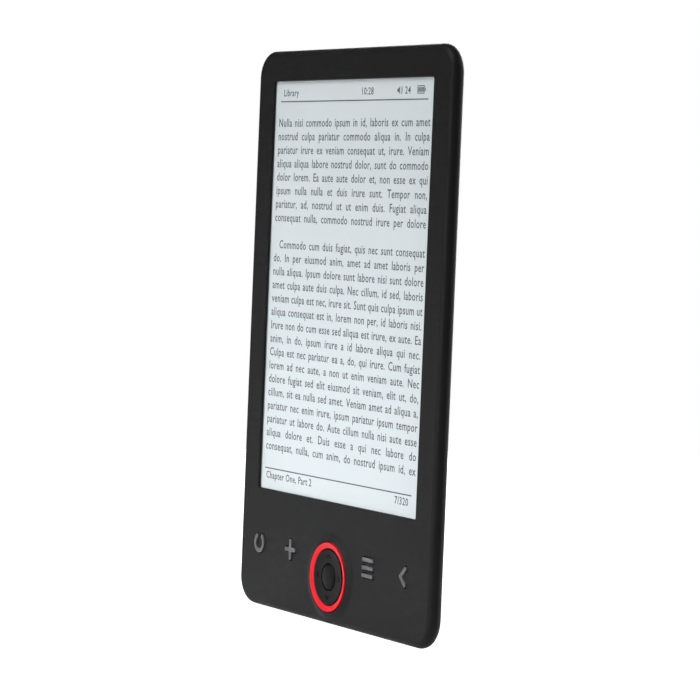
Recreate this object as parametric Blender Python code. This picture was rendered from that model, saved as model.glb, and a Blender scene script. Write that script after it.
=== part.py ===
"""Hand-held e-reader with a six-inch electronic-paper display.

Frame: metres, +Z up along the reading height, the display faces -Y, +X to the reader's right.
The origin is the centre of the flat back face. Depths below are measured from the front plane
towards the back, so a depth of zero is the front face and BODY_DEPTH is the back face.
"""
import math

import bmesh
import bpy
from mathutils import Matrix, Vector

MM = 0.001

# ---- driving dimensions -------------------------------------------------------------------
BODY_WIDTH = 110.0 * MM
BODY_HEIGHT = 166.0 * MM
BODY_DEPTH = 8.2 * MM
CORNER_RADIUS = 8.0 * MM
FRONT_FILLET = 2.0 * MM
REAR_SWEEP_SIDES = 20.0 * MM      # how far the back curves in from the left and right edges
REAR_SWEEP_ENDS = 6.0 * MM        # the same from the top and bottom edges
PARTING_DEPTH = 2.2 * MM          # where the front bezel meets the rear cover
WALL = 1.2 * MM
GAP = 0.3 * MM                    # clearance between neighbouring pieces
CORNER_STEPS = 8

WINDOW_WIDTH = 91.0 * MM
WINDOW_HEIGHT = 122.4 * MM
WINDOW_Z = 13.1 * MM              # the display's centre above the body's centre
PLATE = 1.4 * MM                  # thickness of the bezel's front wall
LEDGE = 0.7 * MM                  # what is left of it in front of the display panel
PANEL_WIDTH = 101.2 * MM
PANEL_TOP = 78.3 * MM
PANEL_BOTTOM = -55.7 * MM
PANEL_FRONT = LEDGE + GAP
PANEL_THICKNESS = 1.1 * MM
POCKET_MARGIN = 0.5 * MM

NAV_Z = -69.2 * MM                # centre of the round navigation cluster
RING_OUTER = 10.0 * MM
RING_INNER = 8.3 * MM
RING_RISE = 1.35 * MM             # how far the ring's outer edge stands over the front plane
RING_DISH = 0.28 * MM             # how much lower its inner edge is
COLLAR_OUTER = 12.2 * MM
COLLAR_RISE = 0.9 * MM
ROCKER_RADIUS = 8.0 * MM
ROCKER_FLANGE = 9.2 * MM
OK_RADIUS = 3.65 * MM

KEY_Z = -64.0 * MM
KEY_RISE = 0.45 * MM
KEY_STROKE = 1.3 * MM
KEY_TRAVEL = 0.35 * MM
REFRESH_X = -42.3 * MM
PLUS_X = -23.3 * MM
MENU_X = 21.2 * MM
BACK_X = 40.4 * MM

FLANGE_FRONT = 1.7 * MM           # the keys' flanges behind the bezel
FLANGE_BACK = 2.2 * MM
NUB_BACK = 2.4 * MM
CONTACT_PLAY = 0.1 * MM
SWITCH_TIP = NUB_BACK + KEY_TRAVEL + CONTACT_PLAY    # the front of each switch's plunger
SWITCH_FRONT = 3.05 * MM
SWITCH_BACK = 3.8 * MM
BOARD_FRONT = 4.1 * MM
BOARD_BACK = 4.9 * MM
BOARD_HALF_WIDTH = 48.0 * MM
BOARD_TOP = -41.0 * MM
BOARD_BOTTOM = -76.5 * MM
PART_FRONT = BOARD_BACK + GAP     # parts on the back of the board start here

FRAME_FRONT = 3.1 * MM
FRAME_BACK = 3.8 * MM
COVER_SCREWS = [(x * MM, z * MM) for z in (68.0, 4.0, -47.0) for x in (-38.0, 38.0)]
BOARD_SCREWS = [(x * MM, z * MM) for z in (-58.2, -74.5) for x in (-46.0, 46.0)]

USB_X = 31.0 * MM
JACK_X = -33.0 * MM
JACK_DEPTH = 4.4 * MM
CARD_X = -14.0 * MM
POWER_X = 16.0 * MM
POWER_DEPTH = 3.6 * MM
POWER_TRAVEL = 0.3 * MM
RESET_X = 39.5 * MM
RESET_Z = -52.0 * MM


# ---- helpers ------------------------------------------------------------------------------
def clear_scene():
    """Remove every object, so the script gives the same model each run."""
    for old in list(bpy.data.objects):
        bpy.data.objects.remove(old, do_unlink=True)


def at(x, depth, z):
    """Return the point at x and z, a given depth behind the front plane."""
    return Vector((x, depth - BODY_DEPTH, z))


def make_material(name, colour, roughness, metallic=0.0):
    """Return a plain Principled material."""
    material = bpy.data.materials.new(name)
    material.use_nodes = True
    shader = material.node_tree.nodes["Principled BSDF"]
    shader.inputs["Base Color"].default_value = (*colour, 1.0)
    shader.inputs["Roughness"].default_value = roughness
    shader.inputs["Metallic"].default_value = metallic
    material.diffuse_color = (*colour, 1.0)
    return material


def object_from(bm, name):
    """Turn a bmesh into an object whose faces point outwards."""
    bmesh.ops.recalc_face_normals(bm, faces=bm.faces)
    mesh = bpy.data.meshes.new(name)
    bm.to_mesh(mesh)
    bm.free()
    thing = bpy.data.objects.new(name, mesh)
    bpy.context.scene.collection.objects.link(thing)
    return thing


def loft(name, rings):
    """Bridge closed rings of points, one after another, and cap both ends."""
    bm = bmesh.new()
    loops = [[bm.verts.new(point) for point in ring] for ring in rings]
    count = len(loops[0])
    for near, far in zip(loops, loops[1:]):
        for i in range(count):
            j = (i + 1) % count
            bm.faces.new((near[i], near[j], far[j], far[i]))
    bm.faces.new(loops[0])
    bm.faces.new(loops[-1])
    return object_from(bm, name)


def prism(name, outline, front, back):
    """Extrude an outline of (x, z) points between two depths."""
    return loft(name, [[at(x, depth, z) for x, z in outline] for depth in (front, back)])


def box(name, x0, x1, front, back, z0, z1):
    """Return a box between two x, two depths and two z."""
    return prism(name, [(x0, z0), (x1, z0), (x1, z1), (x0, z1)], front, back)


def turned(name, x, z, profile, steps=32):
    """Turn a closed profile of (radius, depth) points about the axis along Y at x and z."""
    bm = bmesh.new()
    columns = []
    for radius, depth in profile:
        if radius == 0.0:
            columns.append([bm.verts.new(at(x, depth, z))] * steps)
            continue
        angles = [2.0 * math.pi * i / steps for i in range(steps)]
        columns.append([bm.verts.new(at(x + radius * math.cos(a), depth, z + radius * math.sin(a)))
                        for a in angles])
    for near, far in zip(columns, columns[1:] + columns[:1]):
        for i in range(steps):
            j = (i + 1) % steps
            corners = []
            for corner in (near[i], near[j], far[j], far[i]):
                if corner not in corners:
                    corners.append(corner)
            if len(corners) > 2:
                bm.faces.new(corners)
    return object_from(bm, name)


def drill_along_z(name, x, depth, radius, z0, z1, steps=24):
    """Return a round bar along Z, used to cut the headphone hole."""
    angles = [2.0 * math.pi * i / steps for i in range(steps)]
    rings = [[at(x + radius * math.cos(a), depth + radius * math.sin(a), z) for a in angles]
             for z in (z0, z1)]
    return loft(name, rings)


def join_cutters(pieces):
    """Merge separate closed pieces into one cutter object."""
    bm = bmesh.new()
    for piece in pieces:
        bm.from_mesh(piece.data)
        bpy.data.objects.remove(piece, do_unlink=True)
    return object_from(bm, "cutter")


def combine(thing, other, operation):
    """Apply one exact Boolean between two objects and remove the second."""
    modifier = thing.modifiers.new("combine", "BOOLEAN")
    modifier.operation = operation
    modifier.solver = "EXACT"
    modifier.object = other
    bpy.context.view_layer.update()
    evaluated = thing.evaluated_get(bpy.context.evaluated_depsgraph_get())
    mesh = bpy.data.meshes.new_from_object(evaluated)
    thing.modifiers.remove(modifier)
    thing.data = mesh
    bpy.data.objects.remove(other, do_unlink=True)
    return thing


def cut(thing, *cutters):
    """Cut every cutter out of a piece."""
    return combine(thing, join_cutters(cutters), "DIFFERENCE")


def add(thing, *pieces):
    """Join overlapping solids to a piece, one at a time."""
    for piece in pieces:
        combine(thing, piece, "UNION")
    return thing


def finish(thing, material, origin=None, smooth_angle=35.0):
    """Dress a piece, shade it, and put its origin at a joint's axis or at its own centre."""
    mesh = thing.data
    mesh.name = thing.name
    mesh.materials.clear()
    mesh.materials.append(material)
    if origin is None:
        low = [min(v.co[i] for v in mesh.vertices) for i in range(3)]
        high = [max(v.co[i] for v in mesh.vertices) for i in range(3)]
        origin = Vector([(a + b) / 2.0 for a, b in zip(low, high)])
    mesh.transform(Matrix.Translation(-origin))
    thing.location = origin
    mesh.shade_smooth()
    mesh.set_sharp_from_angle(angle=math.radians(smooth_angle))
    return thing


# ---- outlines -----------------------------------------------------------------------------
def rounded_rectangle(half_width, half_height, radius, centre_z=0.0, steps=CORNER_STEPS):
    """Return the (x, z) points of a rounded rectangle."""
    points = []
    for quarter, (sx, sz) in enumerate(((1, 1), (-1, 1), (-1, -1), (1, -1))):
        for i in range(steps + 1):
            angle = (quarter + i / steps) * math.pi / 2.0
            points.append((sx * (half_width - radius) + radius * math.cos(angle),
                           centre_z + sz * (half_height - radius) + radius * math.sin(angle)))
    return points


def arc_band(x, z, radius, width, first, last, steps=16):
    """Return the outline of a bent bar: an arc of a given middle radius and width."""
    angles = [math.radians(first + (last - first) * i / steps) for i in range(steps + 1)]
    outer = [(x + (radius + width / 2) * math.cos(a), z + (radius + width / 2) * math.sin(a))
             for a in angles]
    inner = [(x + (radius - width / 2) * math.cos(a), z + (radius - width / 2) * math.sin(a))
             for a in angles]
    return outer + inner[::-1]


def refresh_outline(margin=0.0):
    """Return the open ring of the refresh key, its gap at the top."""
    radius = 2.7 * MM
    spread = math.degrees(margin / radius)
    return arc_band(REFRESH_X, KEY_Z + 0.45 * MM, radius, KEY_STROKE + 2 * margin,
                    125.0 - spread, 415.0 + spread)


def plus_outline(margin=0.0):
    """Return the plus sign."""
    arm = 3.2 * MM + margin
    half = KEY_STROKE / 2 + margin
    corners = [(half, arm), (-half, arm), (-half, half), (-arm, half), (-arm, -half),
               (-half, -half), (-half, -arm), (half, -arm), (half, -half), (arm, -half),
               (arm, half), (half, half)]
    return [(PLUS_X + x, KEY_Z + z) for x, z in corners]


def menu_outlines(margin=0.0):
    """Return the three bars of the menu key."""
    half_width = 3.2 * MM + margin
    half_height = 0.58 * MM + margin
    pitch = 2.25 * MM
    return [[(MENU_X + sx * half_width, KEY_Z + row * pitch + sz * half_height)
             for sx, sz in ((1, 1), (-1, 1), (-1, -1), (1, -1))] for row in (-1, 0, 1)]


def back_outline(margin=0.0):
    """Return the chevron that points left."""
    reach = 1.35 * MM
    arm = 2.55 * MM
    half = KEY_STROKE / 2 + margin
    slope = math.atan2(arm, 2 * reach)
    side_x, side_z = half * math.sin(slope), half * math.cos(slope)
    end_x, end_z = reach + margin * math.cos(slope), arm + margin * math.sin(slope)
    tip = half / math.sin(slope)
    corners = [(end_x - side_x, end_z + side_z), (-reach - tip, 0.0),
               (end_x - side_x, -end_z - side_z), (end_x + side_x, side_z - end_z),
               (tip - reach, 0.0), (end_x + side_x, end_z - side_z)]
    return [(BACK_X + x, KEY_Z + z) for x, z in corners]


# ---- shells -------------------------------------------------------------------------------
def outer_ring(depth):
    """Return the outside outline of the body at one depth."""
    half_width, half_height, radius = BODY_WIDTH / 2, BODY_HEIGHT / 2, CORNER_RADIUS
    if depth < FRONT_FILLET:
        inset = FRONT_FILLET - math.sqrt(FRONT_FILLET ** 2 - (FRONT_FILLET - depth) ** 2)
        outline = rounded_rectangle(half_width - inset, half_height - inset, radius - inset)
    else:
        part = min(1.0, (depth - FRONT_FILLET) / (BODY_DEPTH - FRONT_FILLET))
        curve = 1.0 - math.sqrt(1.0 - part * part)
        outline = rounded_rectangle(half_width - REAR_SWEEP_SIDES * curve,
                                    half_height - REAR_SWEEP_ENDS * curve, radius)
    return [at(x, depth, z) for x, z in outline]


def inner_ring(depth):
    """Return the inside outline of the rear cover at one depth."""
    floor = BODY_DEPTH - WALL - FRONT_FILLET
    part = min(1.0, (depth - FRONT_FILLET) / floor)
    curve = 1.0 - math.sqrt(1.0 - part * part)
    side = WALL + (REAR_SWEEP_SIDES - WALL) * curve
    end = WALL + (REAR_SWEEP_ENDS - WALL) * curve
    outline = rounded_rectangle(BODY_WIDTH / 2 - side, BODY_HEIGHT / 2 - end,
                                CORNER_RADIUS - WALL)
    return [at(x, depth, z) for x, z in outline]


def fillet_depths(steps):
    """Return the depths of the front fillet's rings, evenly spaced along its arc."""
    return [FRONT_FILLET * (1.0 - math.sin(math.pi / 2 * (1 - i / steps))) for i in range(steps + 1)]


def sweep_depths(first, last, steps):
    """Return depths from first to last that crowd together where the back turns flat."""
    return [first + (last - first) * math.sin(math.pi / 2 * i / steps) for i in range(steps + 1)]


def make_front_bezel(material):
    """Make the front shell: a tray with the display window, key holes, collar and posts."""
    rim_inset = 1.6 * MM
    rings = [outer_ring(depth) for depth in fillet_depths(6)] + [outer_ring(PARTING_DEPTH)]
    rim = rounded_rectangle(BODY_WIDTH / 2 - rim_inset, BODY_HEIGHT / 2 - rim_inset,
                            CORNER_RADIUS - rim_inset)
    rings += [[at(x, depth, z) for x, z in rim] for depth in (PARTING_DEPTH, PLATE)]
    bezel = loft("front_bezel", rings)

    slope = [(COLLAR_OUTER + (RING_OUTER + GAP - COLLAR_OUTER) * i / 4,
              -COLLAR_RISE * 0.5 * (1 - math.cos(math.pi * i / 4))) for i in range(5)]
    collar = turned("collar", 0.0, NAV_Z, [(0.0, PLATE / 2), (COLLAR_OUTER, PLATE / 2)] + slope
                    + [(0.0, -COLLAR_RISE)], 48)
    posts = [turned("post", x, z, [(0.0, PLATE / 2), (1.8 * MM, PLATE / 2),
                                   (1.8 * MM, SWITCH_BACK), (0.0, SWITCH_BACK)], 20)
             for x, z in BOARD_SCREWS]
    add(bezel, collar, *posts, *make_snap_tabs())

    window = prism("window", rounded_rectangle(WINDOW_WIDTH / 2, WINDOW_HEIGHT / 2, 0.6 * MM,
                                               WINDOW_Z, 3), -MM, 2 * PLATE)
    pocket = box("pocket", -PANEL_WIDTH / 2 - POCKET_MARGIN, PANEL_WIDTH / 2 + POCKET_MARGIN,
                 LEDGE, 2 * PLATE, PANEL_BOTTOM - POCKET_MARGIN, PANEL_TOP + POCKET_MARGIN)
    cut(bezel, window)
    cut(bezel, pocket)
    outlines = [refresh_outline(GAP), plus_outline(GAP), back_outline(GAP), *menu_outlines(GAP)]
    key_holes = [prism("key_hole", outline, -MM, 2 * PLATE) for outline in outlines]
    seat = turned("ring_seat", 0.0, NAV_Z, [
        (0.0, -3 * MM), (RING_OUTER + GAP, -3 * MM), (RING_OUTER + GAP, 0.4 * MM),
        (ROCKER_RADIUS + 0.5 * MM, 0.4 * MM), (ROCKER_RADIUS + 0.5 * MM, 3 * MM), (0.0, 3 * MM)], 48)
    blind_holes = [turned("blind_hole", x, z, [(0.0, 1.9 * MM), (0.9 * MM, 1.9 * MM),
                                               (0.9 * MM, 6 * MM), (0.0, 6 * MM)], 14)
                   for x, z in BOARD_SCREWS]
    cut(bezel, *key_holes, seat, *blind_holes)
    return finish(bezel, material, Vector((0, 0, 0)))


def make_snap_tabs():
    """Return the tabs that hold the two shells together, standing on the bezel's back."""
    near, far, half = 2.6 * MM, 3.3 * MM, 4.0 * MM
    front, back = PLATE / 2, 3.4 * MM
    tabs = []
    for z in (-30.0 * MM, 15.0 * MM, 60.0 * MM):
        for side in (-1, 1):
            xs = sorted(side * (BODY_WIDTH / 2 - inset) for inset in (near, far))
            tabs.append(box("tab", xs[0], xs[1], front, back, z - half, z + half))
    for x in (-28.0 * MM, 0.0, 28.0 * MM):
        tabs.append(box("tab", x - half, x + half, front, back,
                        BODY_HEIGHT / 2 - far, BODY_HEIGHT / 2 - near))
    tabs.append(box("tab", -half, half, front, back, near - BODY_HEIGHT / 2, far - BODY_HEIGHT / 2))
    return tabs


def make_rear_cover(material):
    """Make the rear shell: a curved tub with screw bosses and the openings of its lower edge."""
    outside = [outer_ring(depth) for depth in sweep_depths(PARTING_DEPTH, BODY_DEPTH, 9)]
    inside = [inner_ring(depth) for depth in sweep_depths(PARTING_DEPTH, BODY_DEPTH - WALL, 7)]
    cover = loft("rear_cover", outside[::-1] + inside)

    bosses = [turned("boss", x, z, [(0.0, 6.3 * MM), (2.6 * MM, 6.3 * MM), (2.6 * MM, 7.4 * MM),
                                    (0.0, 7.4 * MM)], 20) for x, z in COVER_SCREWS]
    add(cover, *bosses)
    below = -BODY_HEIGHT / 2 - 2 * MM
    inside_edge = -BODY_HEIGHT / 2 + 5 * MM
    openings = [turned("screw_hole", x, z, [(0.0, 5 * MM), (1.2 * MM, 5 * MM), (1.2 * MM, 7.2 * MM),
                                            (2.2 * MM, 7.2 * MM), (2.2 * MM, 9.5 * MM),
                                            (0.0, 9.5 * MM)], 20) for x, z in COVER_SCREWS]
    openings.append(box("usb_mouth", USB_X - 4.1 * MM, USB_X + 4.1 * MM, 2.55 * MM, 5.75 * MM,
                        below, inside_edge))
    openings.append(drill_along_z("jack_mouth", JACK_X, JACK_DEPTH, 1.95 * MM, below, inside_edge))
    openings.append(box("card_mouth", CARD_X - 6.2 * MM, CARD_X + 6.2 * MM, 5.45 * MM, 6.45 * MM,
                        below, inside_edge))
    openings.append(box("power_slot", POWER_X - 4.0 * MM, POWER_X + 4.0 * MM, POWER_DEPTH - 0.8 * MM,
                        POWER_DEPTH + 0.8 * MM, below, -BODY_HEIGHT / 2 + 2.6 * MM))
    openings.append(turned("reset_hole", RESET_X, RESET_Z, [
        (0.0, 6 * MM), (0.6 * MM, 6 * MM), (0.6 * MM, 9 * MM), (0.0, 9 * MM)], 14))
    cut(cover, *openings)
    return finish(cover, material, Vector((0, 0, 0)))


def make_cover_screws(material):
    """Make the six screws that hold the rear cover on the middle frame."""
    for number, (x, z) in enumerate(COVER_SCREWS, 1):
        screw = turned(f"cover_screw_{number}", x, z, [
            (0.0, 4.7 * MM), (0.85 * MM, 4.7 * MM), (0.85 * MM, 7.5 * MM), (1.8 * MM, 7.5 * MM),
            (1.8 * MM, 7.9 * MM), (1.55 * MM, 8.05 * MM), (0.0, 8.05 * MM)], 18)
        slot_half = 0.22 * MM
        reach = 1.1 * MM
        cross = box("slot", x - reach, x + reach, 7.8 * MM, 9 * MM, z - slot_half, z + slot_half)
        add(cross, box("slot", x - slot_half, x + slot_half, 7.8 * MM, 9 * MM, z - reach, z + reach))
        cut(screw, cross)
        finish(screw, material)


# ---- display and middle frame -------------------------------------------------------------
def make_display(glass, foam, flex, plastic):
    """Make the display panel, the foam behind it, and its flexible lead and connector."""
    panel = prism("display_panel", rounded_rectangle(
        PANEL_WIDTH / 2, (PANEL_TOP - PANEL_BOTTOM) / 2, 1.0 * MM,
        (PANEL_TOP + PANEL_BOTTOM) / 2, 3), PANEL_FRONT, PANEL_FRONT + PANEL_THICKNESS)
    finish(panel, glass)
    foam_pad = box("display_foam", -48 * MM, 48 * MM, 2.4 * MM, 2.8 * MM, -50 * MM, 76 * MM)
    finish(foam_pad, foam)

    thin = 0.1 * MM
    bend = 0.8 * MM
    first_z, turn_z, last_z = PANEL_BOTTOM - GAP, -57.3 * MM, -56.2 * MM
    middle = 1.85 * MM + bend
    path = [(first_z, middle - bend, 1.0, 0.0)]
    for i in range(9):
        angle = math.pi * i / 8
        path.append((turn_z - bend * math.sin(angle), middle - bend * math.cos(angle),
                     math.cos(angle), math.sin(angle)))
    path.append((last_z, middle + bend, -1.0, 0.0))
    half = 12 * MM
    rings = [[at(side, depth + offset * across, z + offset * along)
              for side, offset in ((-half, -thin), (half, -thin), (half, thin), (-half, thin))]
             for z, depth, across, along in path]
    finish(loft("display_flex", rings), flex)
    connector = box("display_connector", -14 * MM, 14 * MM, 3.0 * MM, 3.8 * MM,
                    -55.9 * MM, -53.4 * MM)
    finish(connector, plastic)


def make_middle_frame(material):
    """Make the stiff plate behind the display, with the bosses for the cover screws."""
    plate = prism("middle_frame", rounded_rectangle(50.6 * MM, 66.0 * MM, 4 * MM, 13.0 * MM, 5),
                  FRAME_FRONT, FRAME_BACK)
    bosses = [turned("boss", x, z, [(0.0, 3.5 * MM), (2.3 * MM, 3.5 * MM), (2.3 * MM, 6.0 * MM),
                                    (0.0, 6.0 * MM)], 20) for x, z in COVER_SCREWS]
    add(plate, *bosses)
    holes = [turned("hole", x, z, [(0.0, 4.3 * MM), (1.2 * MM, 4.3 * MM), (1.2 * MM, 8 * MM),
                                   (0.0, 8 * MM)], 16) for x, z in COVER_SCREWS]
    cut(plate, *holes)
    finish(plate, material)


# ---- board, battery and sockets -----------------------------------------------------------
def make_main_board(material, screw_material):
    """Make the circuit board with its notches, and the four screws that hold it."""
    board = box("main_board", -BOARD_HALF_WIDTH, BOARD_HALF_WIDTH, BOARD_FRONT, BOARD_BACK,
                BOARD_BOTTOM, BOARD_TOP)
    low = BOARD_BOTTOM - MM
    notches = [box("notch", USB_X - 4.15 * MM, USB_X + 4.15 * MM, 3 * MM, 6 * MM, low, -74.5 * MM),
               box("notch", JACK_X - 3.6 * MM, JACK_X + 3.6 * MM, 3 * MM, 6 * MM, low, -66.1 * MM)]
    boss_room = 2.7 * MM
    notches += [box("notch", x - boss_room, x + boss_room, 3 * MM, 6 * MM, z - boss_room,
                    BOARD_TOP + MM) for x, z in COVER_SCREWS if z < BOARD_TOP]
    holes = [turned("hole", x, z, [(0.0, 3 * MM), (0.9 * MM, 3 * MM), (0.9 * MM, 6 * MM),
                                   (0.0, 6 * MM)], 14) for x, z in BOARD_SCREWS]
    cut(board, *notches, *holes)
    finish(board, material)
    for number, (x, z) in enumerate(BOARD_SCREWS, 1):
        screw = turned(f"board_screw_{number}", x, z, [
            (0.0, 2.3 * MM), (0.6 * MM, 2.3 * MM), (0.6 * MM, PART_FRONT), (1.3 * MM, PART_FRONT),
            (1.3 * MM, 5.5 * MM), (0.0, 5.6 * MM)], 14)
        finish(screw, screw_material)


def make_board_parts(tin, chip, plastic):
    """Make the parts soldered on the back of the board."""
    can = box("shield_can", -34 * MM, -10 * MM, PART_FRONT, 6.5 * MM, -61 * MM, -45 * MM)
    cut(can, box("inside", -33.6 * MM, -10.4 * MM, 4 * MM, 6.2 * MM, -60.6 * MM, -45.4 * MM))
    finish(can, tin)
    finish(box("processor", -29 * MM, -15 * MM, PART_FRONT, 5.85 * MM, -60 * MM, -46 * MM), chip)
    finish(box("memory_chip", 0, 12 * MM, PART_FRONT, 6.0 * MM, -60 * MM, -48 * MM), chip)
    reset = box("reset_switch", RESET_X - 1.7 * MM, RESET_X + 1.7 * MM, PART_FRONT, 5.9 * MM,
                RESET_Z - 1.7 * MM, RESET_Z + 1.7 * MM)
    finish(reset, plastic)


def make_battery(pouch, plastic, red_lead, black_lead):
    """Make the flat cell, the socket on the board and its two leads."""
    cell = prism("battery", rounded_rectangle(31 * MM, 44 * MM, 2 * MM, 10 * MM, 3),
                 4.1 * MM, 6.6 * MM)
    finish(cell, pouch)
    socket_x = 23.0 * MM
    finish(box("battery_socket", socket_x - 3.5 * MM, socket_x + 3.5 * MM, PART_FRONT, 6.4 * MM,
               -47 * MM, -43 * MM), plastic)
    for name, offset, material in (("battery_lead_red", -1.2 * MM, red_lead),
                                   ("battery_lead_black", 1.2 * MM, black_lead)):
        radius = 0.45 * MM
        steps = 10
        rings = []
        for i in range(steps + 1):
            part = i / steps
            z = -34.3 * MM + (-42.7 * MM + 34.3 * MM) * part
            x = socket_x + offset + 1.6 * MM * math.sin(math.pi * part) ** 2
            rings.append([at(x + radius * math.cos(math.pi * k / 4),
                             5.75 * MM + radius * math.sin(math.pi * k / 4), z) for k in range(8)])
        finish(loft(name, rings), material)


def make_sockets(metal, plastic):
    """Make the charging socket, the headphone jack and the memory card slot."""
    usb = box("usb_socket", USB_X - 3.75 * MM, USB_X + 3.75 * MM, 2.9 * MM, 5.4 * MM,
              -80.4 * MM, -74.9 * MM)
    cut(usb, box("inside", USB_X - 3.4 * MM, USB_X + 3.4 * MM, 3.25 * MM, 5.05 * MM,
                 -82 * MM, -75.5 * MM))
    add(usb, box("tongue", USB_X - 1.9 * MM, USB_X + 1.9 * MM, 3.85 * MM, 4.3 * MM,
                 -79.6 * MM, -75.2 * MM))
    finish(usb, metal)

    jack = box("headphone_jack", JACK_X - 3.2 * MM, JACK_X + 3.2 * MM, JACK_DEPTH - 2.1 * MM,
               JACK_DEPTH + 2.1 * MM, -78.0 * MM, -66.5 * MM)
    cut(jack, drill_along_z("bore", JACK_X, JACK_DEPTH, 1.8 * MM, -80 * MM, -67.5 * MM, 20))
    finish(jack, plastic)

    card = box("card_slot", CARD_X - 7.0 * MM, CARD_X + 7.0 * MM, PART_FRONT, 6.6 * MM,
               -77.5 * MM, -64 * MM)
    cut(card, box("inside", CARD_X - 5.6 * MM, CARD_X + 5.6 * MM, 5.5 * MM, 6.4 * MM,
                  -79 * MM, -65 * MM))
    finish(card, metal)


def make_power_button(material, plastic):
    """Make the power button in the lower edge and the switch that it pushes."""
    outside = -82.9 * MM
    half_depth = 0.5 * MM
    plunger_tip = -77.2 * MM
    stem_end = plunger_tip - POWER_TRAVEL - GAP
    button = box("power_button", POWER_X - 3.7 * MM, POWER_X + 3.7 * MM, POWER_DEPTH - half_depth,
                 POWER_DEPTH + half_depth, outside, -80.1 * MM)
    add(button,
        box("flange", POWER_X - 5.0 * MM, POWER_X + 5.0 * MM, POWER_DEPTH - 0.7 * MM,
            POWER_DEPTH + 0.7 * MM, -80.5 * MM, -79.9 * MM),
        box("stem", POWER_X - 1.2 * MM, POWER_X + 1.2 * MM, POWER_DEPTH - 0.6 * MM,
            POWER_DEPTH + 0.1 * MM, -80.2 * MM, stem_end))
    finish(button, material, at(POWER_X, POWER_DEPTH, outside))
    switch = box("power_switch", POWER_X - 2.5 * MM, POWER_X + 2.5 * MM, 2.8 * MM, SWITCH_BACK,
                 -76.3 * MM, -73.4 * MM)
    add(switch, box("plunger", POWER_X - 0.9 * MM, POWER_X + 0.9 * MM, 3.0 * MM, 3.6 * MM,
                    plunger_tip, -76.0 * MM))
    finish(switch, plastic)


# ---- keys ---------------------------------------------------------------------------------
def make_icon_key(name, x, outlines, material, half_width=4.0 * MM, half_height=3.6 * MM):
    """Make a key whose face is its raised symbol, with a flange and a nub behind the bezel."""
    key = box(name, x - half_width, x + half_width, FLANGE_FRONT, FLANGE_BACK,
              KEY_Z - half_height, KEY_Z + half_height)
    nub = turned("nub", x, KEY_Z, [(0.0, 2.0 * MM), (1.2 * MM, 2.0 * MM), (1.2 * MM, NUB_BACK),
                                   (0.0, NUB_BACK)], 16)
    symbols = [prism("symbol", outline, -KEY_RISE, FLANGE_FRONT + 0.2 * MM) for outline in outlines]
    add(key, nub, *symbols)
    return finish(key, material, at(x, -KEY_RISE, KEY_Z))


def make_navigation(trim, dark, spring):
    """Make the ring, the rocker that tilts inside it, the OK button and the spring washer."""
    ring = turned("trim_ring", 0.0, NAV_Z, [
        (RING_OUTER, 0.1 * MM), (RING_OUTER, 0.15 * MM - RING_RISE), (RING_OUTER - 0.15 * MM, -RING_RISE),
        (RING_INNER + 0.12 * MM, RING_DISH - RING_RISE), (RING_INNER, RING_DISH + 0.1 * MM - RING_RISE),
        (RING_INNER, 0.1 * MM)], 56)
    finish(ring, trim, smooth_angle=30.0)

    hole = OK_RADIUS + 0.35 * MM
    rise, dish = 0.95 * MM, 0.4 * MM
    dished = [(hole + (ROCKER_RADIUS - 0.2 * MM - hole) * i / 5,
               -rise + dish * (1 - (i / 5) ** 2)) for i in range(6)]
    rocker = turned("nav_rocker", 0.0, NAV_Z, dished + [
        (ROCKER_RADIUS, 0.2 * MM - rise), (ROCKER_RADIUS, 2.0 * MM), (ROCKER_FLANGE, 2.0 * MM),
        (ROCKER_FLANGE, NUB_BACK), (5.2 * MM, NUB_BACK), (5.2 * MM, 1.6 * MM), (hole, 1.6 * MM)], 48)
    finish(rocker, dark, at(0.0, 2.0 * MM, NAV_Z))

    dome = [(OK_RADIUS * math.sin(angle), -0.5 * MM - 0.25 * MM * math.cos(angle))
            for angle in [math.pi / 2 * i / 4 for i in range(5)]]
    button = turned("ok_button", 0.0, NAV_Z, dome + [
        (OK_RADIUS, 2.0 * MM), (4.6 * MM, 2.0 * MM), (4.6 * MM, NUB_BACK), (0.0, NUB_BACK)], 36)
    finish(button, dark, at(0.0, -0.75 * MM, NAV_Z))

    washer = turned("nav_spring_washer", 0.0, NAV_Z, [
        (3.9 * MM, 3.0 * MM), (4.9 * MM, 3.0 * MM), (4.9 * MM, 3.3 * MM), (3.9 * MM, 3.3 * MM)], 36)
    finish(washer, spring, at(0.0, 2.0 * MM, NAV_Z))


def make_key_switches(plastic):
    """Make the nine dome switches on the front of the board, one behind each key."""
    reach = 7.3 * MM
    places = {"refresh": (REFRESH_X, KEY_Z), "plus": (PLUS_X, KEY_Z), "menu": (MENU_X, KEY_Z),
              "back": (BACK_X, KEY_Z), "ok": (0.0, NAV_Z), "up": (0.0, NAV_Z + reach),
              "down": (0.0, NAV_Z - reach), "left": (-reach, NAV_Z), "right": (reach, NAV_Z)}
    half = 1.9 * MM
    for name, (x, z) in places.items():
        switch = box(f"switch_{name}", x - half, x + half, SWITCH_FRONT, SWITCH_BACK,
                     z - half, z + half)
        plunger = turned("plunger", x, z, [(0.0, 3.3 * MM), (1.0 * MM, 3.3 * MM),
                                           (1.0 * MM, SWITCH_TIP), (0.0, SWITCH_TIP)], 14)
        add(switch, plunger)
        finish(switch, plastic)


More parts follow.
